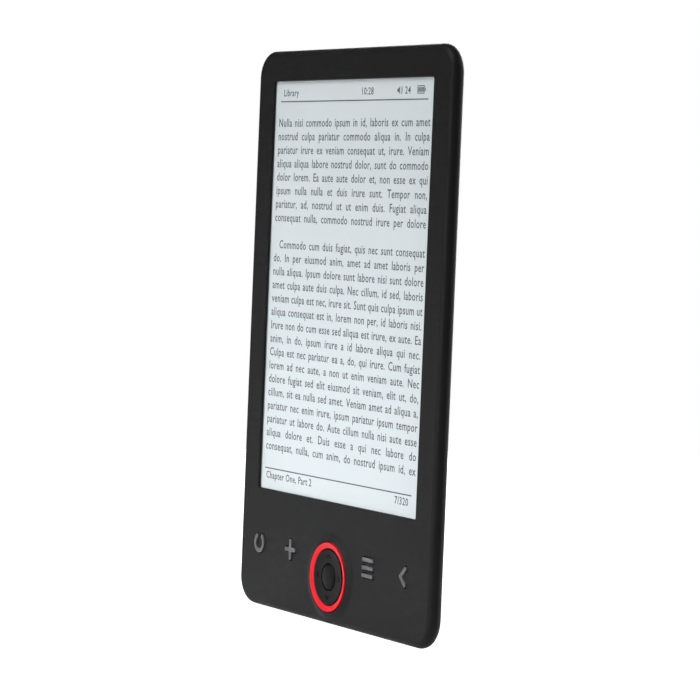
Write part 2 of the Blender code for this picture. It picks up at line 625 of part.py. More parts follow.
def main():
    """Build the whole e-reader."""
    clear_scene()
    housing = make_material("charcoal_plastic", (0.035, 0.035, 0.038), 0.45)
    cover = make_material("rear_plastic", (0.03, 0.03, 0.033), 0.5)
    red = make_material("red_trim", (0.86, 0.02, 0.04), 0.35)
    key_grey = make_material("key_grey", (0.30, 0.30, 0.32), 0.4)
    dark = make_material("nav_plastic", (0.02, 0.02, 0.022), 0.35)
    paper = make_material("display_paper", (0.80, 0.82, 0.82), 0.7)
    foam = make_material("foam", (0.05, 0.05, 0.05), 0.95)
    flex = make_material("flex_amber", (0.45, 0.20, 0.04), 0.4)
    frame = make_material("frame_metal", (0.55, 0.56, 0.58), 0.4, 1.0)
    board = make_material("board_green", (0.02, 0.16, 0.07), 0.5)
    tin = make_material("tinned_steel", (0.62, 0.62, 0.60), 0.35, 1.0)
    chip = make_material("chip_black", (0.02, 0.02, 0.02), 0.55)
    pale = make_material("connector_cream", (0.72, 0.70, 0.62), 0.5)
    pouch = make_material("pouch_silver", (0.60, 0.61, 0.63), 0.35, 1.0)
    steel = make_material("screw_steel", (0.10, 0.10, 0.11), 0.4, 1.0)
    spring = make_material("spring_steel", (0.65, 0.65, 0.66), 0.3, 1.0)
    lead_red = make_material("lead_red", (0.60, 0.02, 0.02), 0.5)
    lead_black = make_material("lead_black", (0.02, 0.02, 0.02), 0.5)

    make_front_bezel(housing)
    make_rear_cover(cover)
    make_cover_screws(steel)
    make_display(paper, foam, flex, chip)
    make_middle_frame(frame)
    make_main_board(board, steel)
    make_board_parts(tin, chip, pale)
    make_battery(pouch, pale, lead_red, lead_black)
    make_sockets(tin, chip)
    make_power_button(dark, chip)
    make_icon_key("refresh_key", REFRESH_X, [refresh_outline()], key_grey)
    make_icon_key("plus_key", PLUS_X, [plus_outline()], key_grey)
    make_icon_key("menu_key", MENU_X, menu_outlines(), key_grey)
    make_icon_key("back_key", BACK_X, [back_outline()], key_grey)
    make_navigation(red, dark, spring)
    make_key_switches(chip)


main()
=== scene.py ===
"""Looks of a hand-held e-reader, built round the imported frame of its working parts.

Lengths are in metres. x runs to the reader's right, z up the page, and a depth is measured
from the plane of the front face towards the back.
"""
import logging
import math
import random
from dataclasses import dataclass, field
from enum import Enum
from typing import Any, Callable, Sequence

import bmesh
import bpy
from mathutils import Matrix, Vector


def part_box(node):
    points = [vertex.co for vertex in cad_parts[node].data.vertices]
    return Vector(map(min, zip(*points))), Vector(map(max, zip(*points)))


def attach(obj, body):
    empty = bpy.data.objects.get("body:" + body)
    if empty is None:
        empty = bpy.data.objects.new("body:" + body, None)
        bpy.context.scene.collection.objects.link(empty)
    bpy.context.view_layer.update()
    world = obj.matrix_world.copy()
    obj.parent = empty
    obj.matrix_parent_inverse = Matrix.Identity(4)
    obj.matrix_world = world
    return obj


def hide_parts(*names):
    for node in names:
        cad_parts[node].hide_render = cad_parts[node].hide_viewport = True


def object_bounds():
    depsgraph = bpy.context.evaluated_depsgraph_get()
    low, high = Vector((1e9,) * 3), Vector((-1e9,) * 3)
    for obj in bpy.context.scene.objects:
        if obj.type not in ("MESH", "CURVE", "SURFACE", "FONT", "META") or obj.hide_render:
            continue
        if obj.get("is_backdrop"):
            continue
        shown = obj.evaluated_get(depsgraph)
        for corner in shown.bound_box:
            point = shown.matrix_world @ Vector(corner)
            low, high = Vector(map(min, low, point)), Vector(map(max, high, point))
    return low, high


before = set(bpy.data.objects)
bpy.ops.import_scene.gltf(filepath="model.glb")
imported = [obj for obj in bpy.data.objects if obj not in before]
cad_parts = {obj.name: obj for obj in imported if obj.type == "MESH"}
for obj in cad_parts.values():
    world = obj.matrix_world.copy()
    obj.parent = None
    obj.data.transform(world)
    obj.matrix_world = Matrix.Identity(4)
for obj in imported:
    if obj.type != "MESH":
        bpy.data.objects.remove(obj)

LOG = logging.getLogger("e_reader")
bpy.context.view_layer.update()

MM = 0.001
PANEL_DEPTH = 1.0 * MM            # the display panel's front, behind the plane of the front face
FRONT_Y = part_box("display_panel")[0].y - PANEL_DEPTH
WINDOW_Z = 13.1 * MM              # the display window's middle, above the middle of the face
CLEAR = 3 * MM                    # how far a cutter stands out of what it cuts

Outline = list[tuple[float, float]]
Colour = tuple[float, float, float]
OutlineAt = Callable[[float], Outline]


# ---- outlines -----------------------------------------------------------------------------
def at(x: float, depth: float, z: float) -> Vector:
    """Return the point at x and z, a given depth behind the front plane."""
    return Vector((x, FRONT_Y + depth, z))


def middle(node: str) -> tuple[float, float]:
    """Return the x and z of a CAD node's middle."""
    low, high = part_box(node)
    return (low.x + high.x) / 2, (low.z + high.z) / 2


def rounded_rectangle(half_width: float, half_height: float, radius: float,
                      centre: tuple[float, float] = (0.0, 0.0), steps: int = 6) -> Outline:
    """Return a rectangle with round corners.

    Args:
        half_width: Half its size along the first axis.
        half_height: Half its size along the second axis.
        radius: Radius of its corners.
        centre: Its middle.
        steps: Straight steps in each corner.

    Returns:
        Its points, anticlockwise from the right.
    """
    points = []
    for quarter, (side, end) in enumerate(((1, 1), (-1, 1), (-1, -1), (1, -1))):
        for i in range(steps + 1):
            angle = (quarter + i / steps) * math.pi / 2
            points.append((centre[0] + side * (half_width - radius) + radius * math.cos(angle),
                           centre[1] + end * (half_height - radius) + radius * math.sin(angle)))
    return points


def round_corners(corners: Outline, radius: float, steps: int = 4) -> Outline:
    """Return an outline with an arc in place of each corner.

    Args:
        corners: The sharp corners in order.
        radius: Radius of the arcs, made smaller where a side is too short for it.
        steps: Straight steps in each arc.

    Returns:
        The rounded outline.
    """
    points = []
    for i, corner in enumerate(corners):
        here = Vector(corner)
        back = Vector(corners[i - 1]) - here
        ahead = Vector(corners[(i + 1) % len(corners)]) - here
        half_turn = back.angle(ahead) / 2
        reach = min(radius / math.tan(half_turn), 0.45 * back.length, 0.45 * ahead.length)
        true_radius = reach * math.tan(half_turn)
        bisector = (back.normalized() + ahead.normalized()).normalized()
        centre = here + bisector * (true_radius / math.sin(half_turn))
        first = here + back.normalized() * reach - centre
        last = here + ahead.normalized() * reach - centre
        start = math.atan2(first.y, first.x)
        sweep = math.remainder(math.atan2(last.y, last.x) - start, 2 * math.pi)
        for k in range(steps + 1):
            angle = start + sweep * k / steps
            points.append((centre.x + true_radius * math.cos(angle),
                           centre.y + true_radius * math.sin(angle)))
    return points


def arc_band(centre: tuple[float, float], radius: float, width: float, first: float, last: float,
             end_round: float = 0.0, steps: int = 28) -> Outline:
    """Return the outline of a bar bent into an arc.

    Args:
        centre: Middle of the arc.
        radius: Radius of the bar's middle line.
        width: Width of the bar.
        first: Angle in degrees where the bar starts.
        last: Angle in degrees where it ends.
        end_round: How far its ends bulge, 0 for straight ends.
        steps: Straight steps along the arc.

    Returns:
        The outline, the outer side first.
    """
    def side(reach: float, start: float, end: float, count: int) -> Outline:
        """Return points along one arc about the centre.

        Args:
            reach: Radius of the arc.
            start: Angle in degrees where it starts.
            end: Angle in degrees where it ends.
            count: Straight steps along it.

        Returns:
            The points.
        """
        return [(centre[0] + reach * math.cos(math.radians(start + (end - start) * i / count)),
                 centre[1] + reach * math.sin(math.radians(start + (end - start) * i / count)))
                for i in range(count + 1)]

    def bulge(angle: float, ahead: float) -> Outline:
        """Return the rounded end that joins the outer side to the inner one.

        Args:
            angle: Angle in degrees of the end.
            ahead: 1 at the last end, -1 at the first.

        Returns:
            The points between the two sides.
        """
        cos, sin = math.cos(math.radians(angle)), math.sin(math.radians(angle))
        points = []
        for i in range(1, 6):
            turn = math.pi * i / 6
            along = ahead * end_round * math.sin(turn)
            reach = radius + width / 2 * math.cos(turn)
            points.append((centre[0] + reach * cos - along * sin, centre[1] + reach * sin + along * cos))
        return points

    outer = side(radius + width / 2, first, last, steps)
    inner = side(radius - width / 2, last, first, steps)
    return outer + bulge(last, 1.0) + inner + bulge(first, -1.0)[::-1]


# ---- mesh work ----------------------------------------------------------------------------
def show(thing: bpy.types.Object) -> bpy.types.Object:
    """Link an object to the scene and return it."""
    bpy.context.scene.collection.objects.link(thing)
    return thing


def evaluated_mesh(thing: bpy.types.Object) -> bpy.types.Mesh:
    """Return a new mesh of an object as its modifiers or its letters make it."""
    bpy.context.view_layer.update()
    return bpy.data.meshes.new_from_object(thing.evaluated_get(bpy.context.evaluated_depsgraph_get()))


def joined(parts: Sequence[bpy.types.Object]) -> bmesh.types.BMesh:
    """Gather separate objects into one bmesh, and remove them.

    Args:
        parts: The objects.

    Returns:
        The bmesh that holds all of them.
    """
    bm = bmesh.new()
    for part in parts:
        bm.from_mesh(part.data)
        bpy.data.objects.remove(part, do_unlink=True)
    return bm


def object_from(bm: bmesh.types.BMesh, name: str) -> bpy.types.Object:
    """Turn a bmesh into a linked object whose faces point outwards.

    Args:
        bm: The bmesh, which is freed.
        name: Name of the object and its mesh.

    Returns:
        The object.
    """
    bmesh.ops.recalc_face_normals(bm, faces=bm.faces)
    mesh = bpy.data.meshes.new(name)
    bm.to_mesh(mesh)
    bm.free()
    return show(bpy.data.objects.new(name, mesh))


def loft(name: str, rings: Sequence[Sequence[Vector]]) -> bpy.types.Object:
    """Bridge closed rings of points, one after another, and cap both ends.

    Args:
        name: Name of the new object.
        rings: The rings, each with the same number of points.

    Returns:
        The closed solid.
    """
    bm = bmesh.new()
    loops = [[bm.verts.new(point) for point in ring] for ring in rings]
    count = len(loops[0])
    for near, far in zip(loops, loops[1:]):
        for i in range(count):
            j = (i + 1) % count
            bm.faces.new((near[i], near[j], far[j], far[i]))
    bm.faces.new(loops[0])
    bm.faces.new(loops[-1])
    return object_from(bm, name)


def prism(name: str, outline: Outline, front: float, back: float) -> bpy.types.Object:
    """Extrude an outline of (x, z) points between two depths."""
    return loft(name, [[at(x, depth, z) for x, z in outline] for depth in (front, back)])


def block(name: str, low: Sequence[float], high: Sequence[float]) -> bpy.types.Object:
    """Return a box between two corners given as (x, depth, z)."""
    return prism(name, [(low[0], low[2]), (high[0], low[2]), (high[0], high[2]), (low[0], high[2])],
                 low[1], high[1])


def turned(name: str, centre: tuple[float, float], profile: Outline,
           steps: int = 96) -> bpy.types.Object:
    """Turn a closed profile about an axis along the depth.

    Args:
        name: Name of the new object.
        centre: The x and z of the axis.
        profile: The (radius, depth) points.
        steps: Straight steps round the axis.

    Returns:
        The turned solid.
    """
    bm = bmesh.new()
    columns = []
    for radius, depth in profile:
        if radius == 0.0:
            columns.append([bm.verts.new(at(centre[0], depth, centre[1]))] * steps)
            continue
        angles = [2 * math.pi * i / steps for i in range(steps)]
        columns.append([bm.verts.new(at(centre[0] + radius * math.cos(a), depth,
                                        centre[1] + radius * math.sin(a))) for a in angles])
    for near, far in zip(columns, columns[1:] + columns[:1]):
        for i in range(steps):
            j = (i + 1) % steps
            corners = list(dict.fromkeys((near[i], near[j], far[j], far[i])))
            if len(corners) > 2:
                bm.faces.new(corners)
    return object_from(bm, name)


def combine(thing: bpy.types.Object, others: Sequence[bpy.types.Object],
            operation: str) -> bpy.types.Object:
    """Apply one Boolean with several separate solids, and remove them.

    Args:
        thing: The solid to change.
        others: Solids that don't touch one another.
        operation: UNION or DIFFERENCE.

    Returns:
        The changed solid.
    """
    tool = object_from(joined(others), "tool")
    modifier = thing.modifiers.new("combine", "BOOLEAN")
    modifier.operation = operation
    modifier.solver = "MANIFOLD"
    modifier.object = tool
    mesh = evaluated_mesh(thing)
    thing.modifiers.remove(modifier)
    thing.data = mesh
    bpy.data.objects.remove(tool, do_unlink=True)
    return thing


def smooth(thing: bpy.types.Object, angle: float = 32.0) -> bpy.types.Object:
    """Shade smooth between sharp edges, with normals that keep flat faces flat.

    Args:
        thing: The object to shade.
        angle: Angle in degrees from which an edge stays sharp.

    Returns:
        The same object.
    """
    thing.data.name = thing.name
    thing.data.shade_smooth()
    thing.data.set_sharp_from_angle(angle=math.radians(angle))
    weighted = thing.modifiers.new("flat faces stay flat", "WEIGHTED_NORMAL")
    weighted.keep_sharp = True
    weighted.weight = 100
    return thing


def round_over(thing: bpy.types.Object, width: float, segments: int = 2) -> bpy.types.Object:
    """Round the sharp edges of a simple solid.

    Args:
        thing: The object to round.
        width: Width of the rounding.
        segments: Straight steps across it.

    Returns:
        The same object.
    """
    bevel = thing.modifiers.new("rounded edges", "BEVEL")
    bevel.width = width
    bevel.segments = segments
    bevel.limit_method = "ANGLE"
    bevel.angle_limit = math.radians(40)
    return smooth(thing)


def quarter_turn(steps: int) -> list[tuple[float, float]]:
    """Return (1 - sin, 1 - cos) pairs along a quarter turn, for rounded edges."""
    angles = [math.pi / 2 * i / steps for i in range(steps + 1)]
    return [(1 - math.sin(a), 1 - math.cos(a)) for a in angles]


def front_hole(outline: OutlineAt, edge: float, far: float, steps: int = 4) -> bpy.types.Object:
    """Return a cutter for a hole through the front face, with a rounded mouth.

    Args:
        outline: Gives the hole's outline at a margin.
        edge: Radius of the mouth's edge.
        far: Depth where the cutter ends.
        steps: Steps round the edge.

    Returns:
        The cutter.
    """
    levels = [(edge, -1.2 * MM)] + [(edge * a, edge * b) for a, b in quarter_turn(steps)]
    levels.append((0.0, far))
    return loft("front_hole", [[at(x, depth, z) for x, z in outline(margin)]
                               for margin, depth in levels])


# ---- shader graphs ------------------------------------------------------------------------
class Graph:
    """Short hand for adding nodes to one tree."""

    def __init__(self, tree: bpy.types.NodeTree) -> None:
        """Work on a given tree."""
        self.tree = tree

    def add(self, kind: str, **settings: Any) -> bpy.types.Node:
        """Add a node and set its plain properties.

        Args:
            kind: The node's type.
            **settings: Properties of the node.

        Returns:
            The node.
        """
        node = self.tree.nodes.new(kind)
        for key, value in settings.items():
            setattr(node, key, value)
        return node

    def feed(self, socket: bpy.types.NodeSocket, source: Any) -> None:
        """Link a socket to another one, or give it a plain value.

        Args:
            socket: The input to fill.
            source: An output, or a plain value.
        """
        if isinstance(source, bpy.types.NodeSocket):
            self.tree.links.new(source, socket)
        else:
            socket.default_value = source

    def maths(self, operation: str, first: Any, second: Any = 0.0,
              clamp: bool = False) -> bpy.types.NodeSocket:
        """Return the result of one Math node.

        Args:
            operation: Name of the operation.
            first: First value.
            second: Second value.
            clamp: Whether the result is held between 0 and 1.

        Returns:
            The result.
        """
        node = self.add("ShaderNodeMath", operation=operation, use_clamp=clamp)
        self.feed(node.inputs[0], first)
        self.feed(node.inputs[1], second)
        return node.outputs[0]

    def noise(self, place: Any, scale: Any, detail: float = 2.0,
              rough: float = 0.5) -> bpy.types.NodeSocket:
        """Return a noise value at a place in millimetres.

        Args:
            place: The place.
            scale: How fine the noise is.
            detail: How many finer layers it has.
            rough: How strong the finer layers are.

        Returns:
            The value.
        """
        node = self.add("ShaderNodeTexNoise")
        self.feed(node.inputs["Vector"], place)
        self.feed(node.inputs["Scale"], scale)
        node.inputs["Detail"].default_value = detail
        node.inputs["Roughness"].default_value = rough
        return node.outputs["Fac"]

    def cells(self, place: Any, scale: Any) -> bpy.types.NodeSocket:
        """Return the distance to the nearest of many scattered points.

        Args:
            place: The place.
            scale: How close the points lie.

        Returns:
            The distance.
        """
        node = self.add("ShaderNodeTexVoronoi", feature="F1")
        self.feed(node.inputs["Vector"], place)
        self.feed(node.inputs["Scale"], scale)
        return node.outputs["Distance"]

    def spread(self, value: Any, low: float, high: float, to_low: Any = 0.0,
               to_high: Any = 1.0) -> bpy.types.NodeSocket:
        """Return a value mapped from one range to another, held at the ends.

        Args:
            value: The value to map.
            low: Where the first range starts.
            high: Where it ends.
            to_low: What low becomes.
            to_high: What high becomes.

        Returns:
            The mapped value.
        """
        node = self.add("ShaderNodeMapRange", interpolation_type="SMOOTHSTEP")
        for socket, source in zip(node.inputs, (value, low, high, to_low, to_high)):
            self.feed(socket, source)
        return node.outputs[0]

    def blend(self, share: Any, first: Any, second: Any) -> bpy.types.NodeSocket:
        """Return a mix of two colours.

        Args:
            share: How much of the second colour there is.
            first: First colour.
            second: Second colour.

        Returns:
            The mix.
        """
        node = self.add("ShaderNodeMix", data_type="RGBA")
        self.feed(node.inputs[0], share)
        self.feed(node.inputs[6], first)
        self.feed(node.inputs[7], second)
        return node.outputs[2]

    def stretch(self, place: Any, scale: Sequence[float]) -> bpy.types.NodeSocket:
        """Return a place stretched along the axes.

        Args:
            place: The place.
            scale: Factor along each axis.

        Returns:
            The stretched place.
        """
        node = self.add("ShaderNodeVectorMath", operation="MULTIPLY")
        self.feed(node.inputs[0], place)
        node.inputs[1].default_value = scale
        return node.outputs[0]

    def group(self, tree: bpy.types.NodeTree, **values: Any) -> bpy.types.Node:
        """Place a node group and feed its named inputs, with _ for a space.

        Args:
            tree: The group.
            **values: A value or an output for each named input.

        Returns:
            The node that holds the group.
        """
        node = self.add("ShaderNodeGroup", node_tree=tree)
        for name, value in values.items():
            self.feed(node.inputs[name.replace("_", " ")], value)
        return node


def new_group(name: str, inputs: dict[str, str],
              outputs: dict[str, str]) -> tuple[Graph, bpy.types.Node, bpy.types.Node]:
    """Start a shader node group.

    Args:
        name: Its name.
        inputs: Socket type of each named input.
        outputs: Socket type of each named output.

    Returns:
        The graph, the node that holds the inputs and the node that takes the outputs.
    """
    tree = bpy.data.node_groups.new(name, "ShaderNodeTree")
    for sockets, way in ((inputs, "INPUT"), (outputs, "OUTPUT")):
        for socket, kind in sockets.items():
            tree.interface.new_socket(name=socket, in_out=way, socket_type=kind)
    graph = Graph(tree)
    return graph, graph.add("NodeGroupInput"), graph.add("NodeGroupOutput")


def grain_group() -> bpy.types.NodeTree:
    """Build the spark-eroded grain of a moulded surface.

    Returns:
        The group's node tree.
    """
    graph, given, made = new_group("moulded grain", {
        "Place": "NodeSocketVector", "Size": "NodeSocketFloat"},
        {"Height": "NodeSocketFloat", "Tone": "NodeSocketFloat"})
    scale = graph.maths("DIVIDE", 1.0, given.outputs["Size"])
    pits = graph.cells(given.outputs["Place"], scale)
    fine = graph.noise(given.outputs["Place"], graph.maths("MULTIPLY", scale, 1.7), 3.0, 0.6)
    height = graph.maths("ADD", graph.maths("MULTIPLY", pits, 0.6), graph.maths("MULTIPLY", fine, 0.8))
    graph.feed(made.inputs["Height"], height)
    graph.feed(made.inputs["Tone"], graph.spread(fine, 0.35, 0.65))
    return graph.tree


def handling_group() -> bpy.types.NodeTree:
    """Build the faint smears that fingers leave, as a mask and a change of roughness.

    Returns:
        The group's node tree.
    """
    graph, given, made = new_group("handling marks", {
        "Place": "NodeSocketVector", "Amount": "NodeSocketFloat"},
        {"Mask": "NodeSocketFloat", "Roughness": "NodeSocketFloat"})
    broad = graph.noise(given.outputs["Place"], 0.045, 3.0, 0.55)
    streaks = graph.noise(graph.stretch(given.outputs["Place"], (0.5, 1.0, 1.4)), 0.35, 4.0, 0.6)
    smear = graph.maths("MULTIPLY", graph.spread(broad, 0.42, 0.66), graph.spread(streaks, 0.35, 0.7))
    mask = graph.maths("MULTIPLY", smear, given.outputs["Amount"])
    graph.feed(made.inputs["Mask"], mask)
    graph.feed(made.inputs["Roughness"], graph.maths("MULTIPLY", mask, -0.12))
    return graph.tree


def wear_group() -> bpy.types.NodeTree:
    """Build the mask of edges that handling has polished.

    Returns:
        The group's node tree.
    """
    graph, given, made = new_group("edge wear", {
        "Place": "NodeSocketVector", "Amount": "NodeSocketFloat"}, {"Mask": "NodeSocketFloat"})
    bevel = graph.add("ShaderNodeBevel", samples=4)
    bevel.inputs["Radius"].default_value = 0.35 * MM
    plain = graph.add("ShaderNodeNewGeometry")
    facing = graph.add("ShaderNodeVectorMath", operation="DOT_PRODUCT")
    graph.feed(facing.inputs[0], bevel.outputs[0])
    graph.feed(facing.inputs[1], plain.outputs["Normal"])
    edge = graph.spread(facing.outputs["Value"], 0.995, 0.86)
    broken = graph.spread(graph.noise(given.outputs["Place"], 0.7, 3.0, 0.6), 0.38, 0.62, 0.35, 1.0)
    mask = graph.maths("MULTIPLY", graph.maths("MULTIPLY", edge, broken), given.outputs["Amount"])
    graph.feed(made.inputs["Mask"], mask)
    return graph.tree


def dust_group() -> bpy.types.NodeTree:
    """Build the mask of fine dust on faces that look up.

    Returns:
        The group's node tree.
    """
    graph, given, made = new_group("settled dust", {
        "Place": "NodeSocketVector", "Amount": "NodeSocketFloat"}, {"Mask": "NodeSocketFloat"})
    plain = graph.add("ShaderNodeNewGeometry")
    split = graph.add("ShaderNodeSeparateXYZ")
    graph.feed(split.inputs[0], plain.outputs["Normal"])
    up = graph.spread(split.outputs[2], 0.2, 1.0)
    specks = graph.spread(graph.cells(given.outputs["Place"], 1.6), 0.28, 0.1)
    film = graph.spread(graph.noise(given.outputs["Place"], 0.2, 4.0, 0.6), 0.35, 0.8, 0.0, 0.5)
    mask = graph.maths("MULTIPLY", graph.maths("MAXIMUM", specks, film), up)
    graph.feed(made.inputs["Mask"], graph.maths("MULTIPLY", mask, given.outputs["Amount"]))
    return graph.tree


def brushed_group() -> bpy.types.NodeTree:
    """Build the fine lines of rolled or brushed sheet metal.

    Returns:
        The group's node tree.
    """
    graph, given, made = new_group("rolled lines", {
        "Place": "NodeSocketVector"}, {"Height": "NodeSocketFloat", "Tone": "NodeSocketFloat"})
    lines = graph.noise(graph.stretch(given.outputs["Place"], (0.25, 6.0, 6.0)), 1.4, 5.0, 0.65)
    clouds = graph.noise(given.outputs["Place"], 0.12, 3.0, 0.5)
    graph.feed(made.inputs["Height"], lines)
    graph.feed(made.inputs["Tone"], graph.spread(graph.maths(
        "ADD", graph.maths("MULTIPLY", lines, 0.6), graph.maths("MULTIPLY", clouds, 0.4)), 0.35, 0.65))
    return graph.tree


GROUP_MAKERS = {"moulded grain": grain_group, "handling marks": handling_group,
                "edge wear": wear_group, "settled dust": dust_group, "rolled lines": brushed_group}


def group_tree(name: str) -> bpy.types.NodeTree:
    """Return a shared node group, built on first use."""
    return bpy.data.node_groups.get(name) or GROUP_MAKERS[name]()


def shade(colour: Colour) -> tuple[float, float, float, float]:
    """Return a colour with its fourth number."""
    return (*colour, 1.0)


def start_material(name: str) -> tuple[bpy.types.Material, Graph, bpy.types.Node, Any]:
    """Start a material.

    Args:
        name: Its name.

    Returns:
        The material, its graph, its Principled shader and the place in millimetres.
    """
    material = bpy.data.materials.new(name)
    material.use_nodes = True
    graph = Graph(material.node_tree)
    shader = material.node_tree.nodes["Principled BSDF"]
    coordinates = graph.add("ShaderNodeTexCoord")
    return material, graph, shader, graph.stretch(coordinates.outputs["Object"], (1 / MM,) * 3)


def add_bump(graph: Graph, shader: bpy.types.Node, height: Any, distance: float) -> None:
    """Feed the shader's normal from a height, with a relief in metres.

    Args:
        graph: The material's graph.
        shader: Its Principled shader.
        height: The height, from 0 to 1.
        distance: The relief at a height of 1.
    """
    bump = graph.add("ShaderNodeBump")
    bump.inputs["Distance"].default_value = distance
    bump.inputs["Strength"].default_value = 1.0
    graph.feed(bump.inputs["Height"], height)
    graph.feed(shader.inputs["Normal"], bump.outputs["Normal"])


# ---- finishes -----------------------------------------------------------------------------
@dataclass(frozen=True)
class Finish:
    """A surface whose material is built on first use."""

    name: str

    def material(self) -> bpy.types.Material:
        """Return the material, built on first use.

        Returns:
            The material.
        """
        if self.name not in bpy.data.materials:
            self.paint(*start_material(self.name)[1:])
        return bpy.data.materials[self.name]

    def paint(self, graph: Graph, shader: bpy.types.Node, place: Any) -> None:
        """Feed the shader, which every finish does in its own way."""
        raise NotImplementedError


@dataclass(frozen=True)
class MouldedPlastic(Finish):
    """Injection-moulded plastic with a fine eroded grain, smears, worn edges and dust."""

    colour: Colour
    roughness: float = 0.5
    specular: float = 0.35
    grain_size: float = 0.32
    relief: float = 0.006 * MM
    smears: float = 0.6
    wear: float = 0.35
    dust: float = 0.1

    def paint(self, graph: Graph, shader: bpy.types.Node, place: Any) -> None:
        """Feed the shader with grain, smears, worn edges and dust.

        Args:
            graph: The material's graph.
            shader: Its Principled shader.
            place: The place in millimetres.
        """
        grain = graph.group(group_tree("moulded grain"), Place=place, Size=self.grain_size)
        marks = graph.group(group_tree("handling marks"), Place=place, Amount=self.smears)
        worn = graph.group(group_tree("edge wear"), Place=place, Amount=self.wear)
        dust = graph.group(group_tree("settled dust"), Place=place, Amount=self.dust)
        deep = tuple(c * 0.86 for c in self.colour)
        light = tuple(c * 1.12 for c in self.colour)
        polished = tuple(min(1.0, c * 1.5 + 0.008) for c in self.colour)
        base = graph.blend(grain.outputs["Tone"], shade(deep), shade(light))
        base = graph.blend(marks.outputs["Mask"], base, shade(tuple(c * 1.2 for c in self.colour)))
        base = graph.blend(worn.outputs["Mask"], base, shade(polished))
        base = graph.blend(dust.outputs["Mask"], base, shade((0.33, 0.32, 0.31)))
        graph.feed(shader.inputs["Base Color"], base)
        rough = graph.spread(grain.outputs["Tone"], 0.0, 1.0, self.roughness + 0.04, self.roughness - 0.04)
        rough = graph.maths("ADD", rough, marks.outputs["Roughness"])
        rough = graph.maths("SUBTRACT", rough, graph.maths("MULTIPLY", worn.outputs["Mask"], 0.15))
        rough = graph.maths("ADD", rough, graph.maths("MULTIPLY", dust.outputs["Mask"], 0.3), clamp=True)
        graph.feed(shader.inputs["Roughness"], rough)
        shader.inputs["Specular IOR Level"].default_value = self.specular
        add_bump(graph, shader, grain.outputs["Height"], self.relief)


@dataclass(frozen=True)
class SheetMetal(Finish):
    """Rolled, plated or drawn metal."""

    colour: Colour
    roughness: float = 0.32
    relief: float = 0.004 * MM
    wear: float = 0.3

    def paint(self, graph: Graph, shader: bpy.types.Node, place: Any) -> None:
        """Feed the shader with rolled lines, worn edges and smears.

        Args:
            graph: The material's graph.
            shader: Its Principled shader.
            place: The place in millimetres.
        """
        lines = graph.group(group_tree("rolled lines"), Place=place)
        worn = graph.group(group_tree("edge wear"), Place=place, Amount=self.wear)
        marks = graph.group(group_tree("handling marks"), Place=place, Amount=0.7)
        base = graph.blend(lines.outputs["Tone"], shade(tuple(c * 0.84 for c in self.colour)),
                           shade(self.colour))
        base = graph.blend(worn.outputs["Mask"], base,
                           shade(tuple(min(1.0, c * 1.3 + 0.05) for c in self.colour)))
        graph.feed(shader.inputs["Base Color"], base)
        shader.inputs["Metallic"].default_value = 1.0
        rough = graph.spread(lines.outputs["Tone"], 0.0, 1.0, self.roughness + 0.08, self.roughness - 0.05)
        graph.feed(shader.inputs["Roughness"],
                   graph.maths("SUBTRACT", rough, marks.outputs["Roughness"], clamp=True))
        add_bump(graph, shader, lines.outputs["Height"], self.relief)


@dataclass(frozen=True)
class ElectronicPaper(Finish):
    """The reflective page of the display, under a matt film."""

    colour: Colour
    shadow: Colour
    roughness: float = 0.42

    def paint(self, graph: Graph, shader: bpy.types.Node, place: Any) -> None:
        """Feed the shader with clouds, capsules and fibres.

        Args:
            graph: The material's graph.
            shader: Its Principled shader.
            place: The place in millimetres.
        """
        capsules = graph.cells(place, 9.0)
        clouds = graph.noise(place, 0.03, 4.0, 0.6)
        fibres = graph.noise(graph.stretch(place, (1.0, 1.0, 1.6)), 3.0, 4.0, 0.7)
        tone = graph.maths("ADD", graph.maths("MULTIPLY", capsules, 0.3),
                           graph.maths("MULTIPLY", fibres, 0.45))
        tone = graph.maths("ADD", tone, graph.maths("MULTIPLY", clouds, 0.25))
        base = graph.blend(graph.spread(tone, 0.3, 0.62), shade(self.shadow), shade(self.colour))
        graph.feed(shader.inputs["Base Color"], base)
        graph.feed(shader.inputs["Roughness"], graph.spread(
            clouds, 0.3, 0.7, self.roughness - 0.05, self.roughness + 0.05))
        shader.inputs["Specular IOR Level"].default_value = 0.3
        add_bump(graph, shader, fibres, 0.002 * MM)


@dataclass(frozen=True)
class PrintedInk(Finish):
    """Dark particles that make the letters of the page."""

    colour: Colour

    def paint(self, graph: Graph, shader: bpy.types.Node, place: Any) -> None:
        """Feed the shader with dark specks.

        Args:
            graph: The material's graph.
            shader: Its Principled shader.
            place: The place in millimetres.
        """
        specks = graph.noise(place, 8.0, 3.0, 0.7)
        base = graph.blend(graph.spread(specks, 0.35, 0.7), shade(self.colour),
                           shade(tuple(c * 1.7 + 0.01 for c in self.colour)))
        graph.feed(shader.inputs["Base Color"], base)
        graph.feed(shader.inputs["Roughness"], graph.spread(specks, 0.3, 0.7, 0.5, 0.62))
        shader.inputs["Specular IOR Level"].default_value = 0.25


@dataclass(frozen=True)
class FoamRubber(Finish):
    """Open-celled foam, with painted shade darkening the pits of its cells."""

    colour: Colour

    def paint(self, graph: Graph, shader: bpy.types.Node, place: Any) -> None:
        """Feed the shader with open cells, whose pits are darkened with painted shade.

        Args:
            graph: The material's graph.
            shader: Its Principled shader.
            place: The place in millimetres.
        """
        cells = graph.cells(place, 2.2)
        # painted shade: the pits of the cells, where the bump is lowest, are darkened to 0.3 of the foam's
        # colour
        base = graph.blend(graph.spread(cells, 0.1, 0.6), shade(tuple(c * 0.3 for c in self.colour)),
                           shade(self.colour))
        graph.feed(shader.inputs["Base Color"], base)
        graph.feed(shader.inputs["Roughness"], graph.spread(cells, 0.1, 0.6, 1.0, 0.85))
        add_bump(graph, shader, cells, 0.12 * MM)


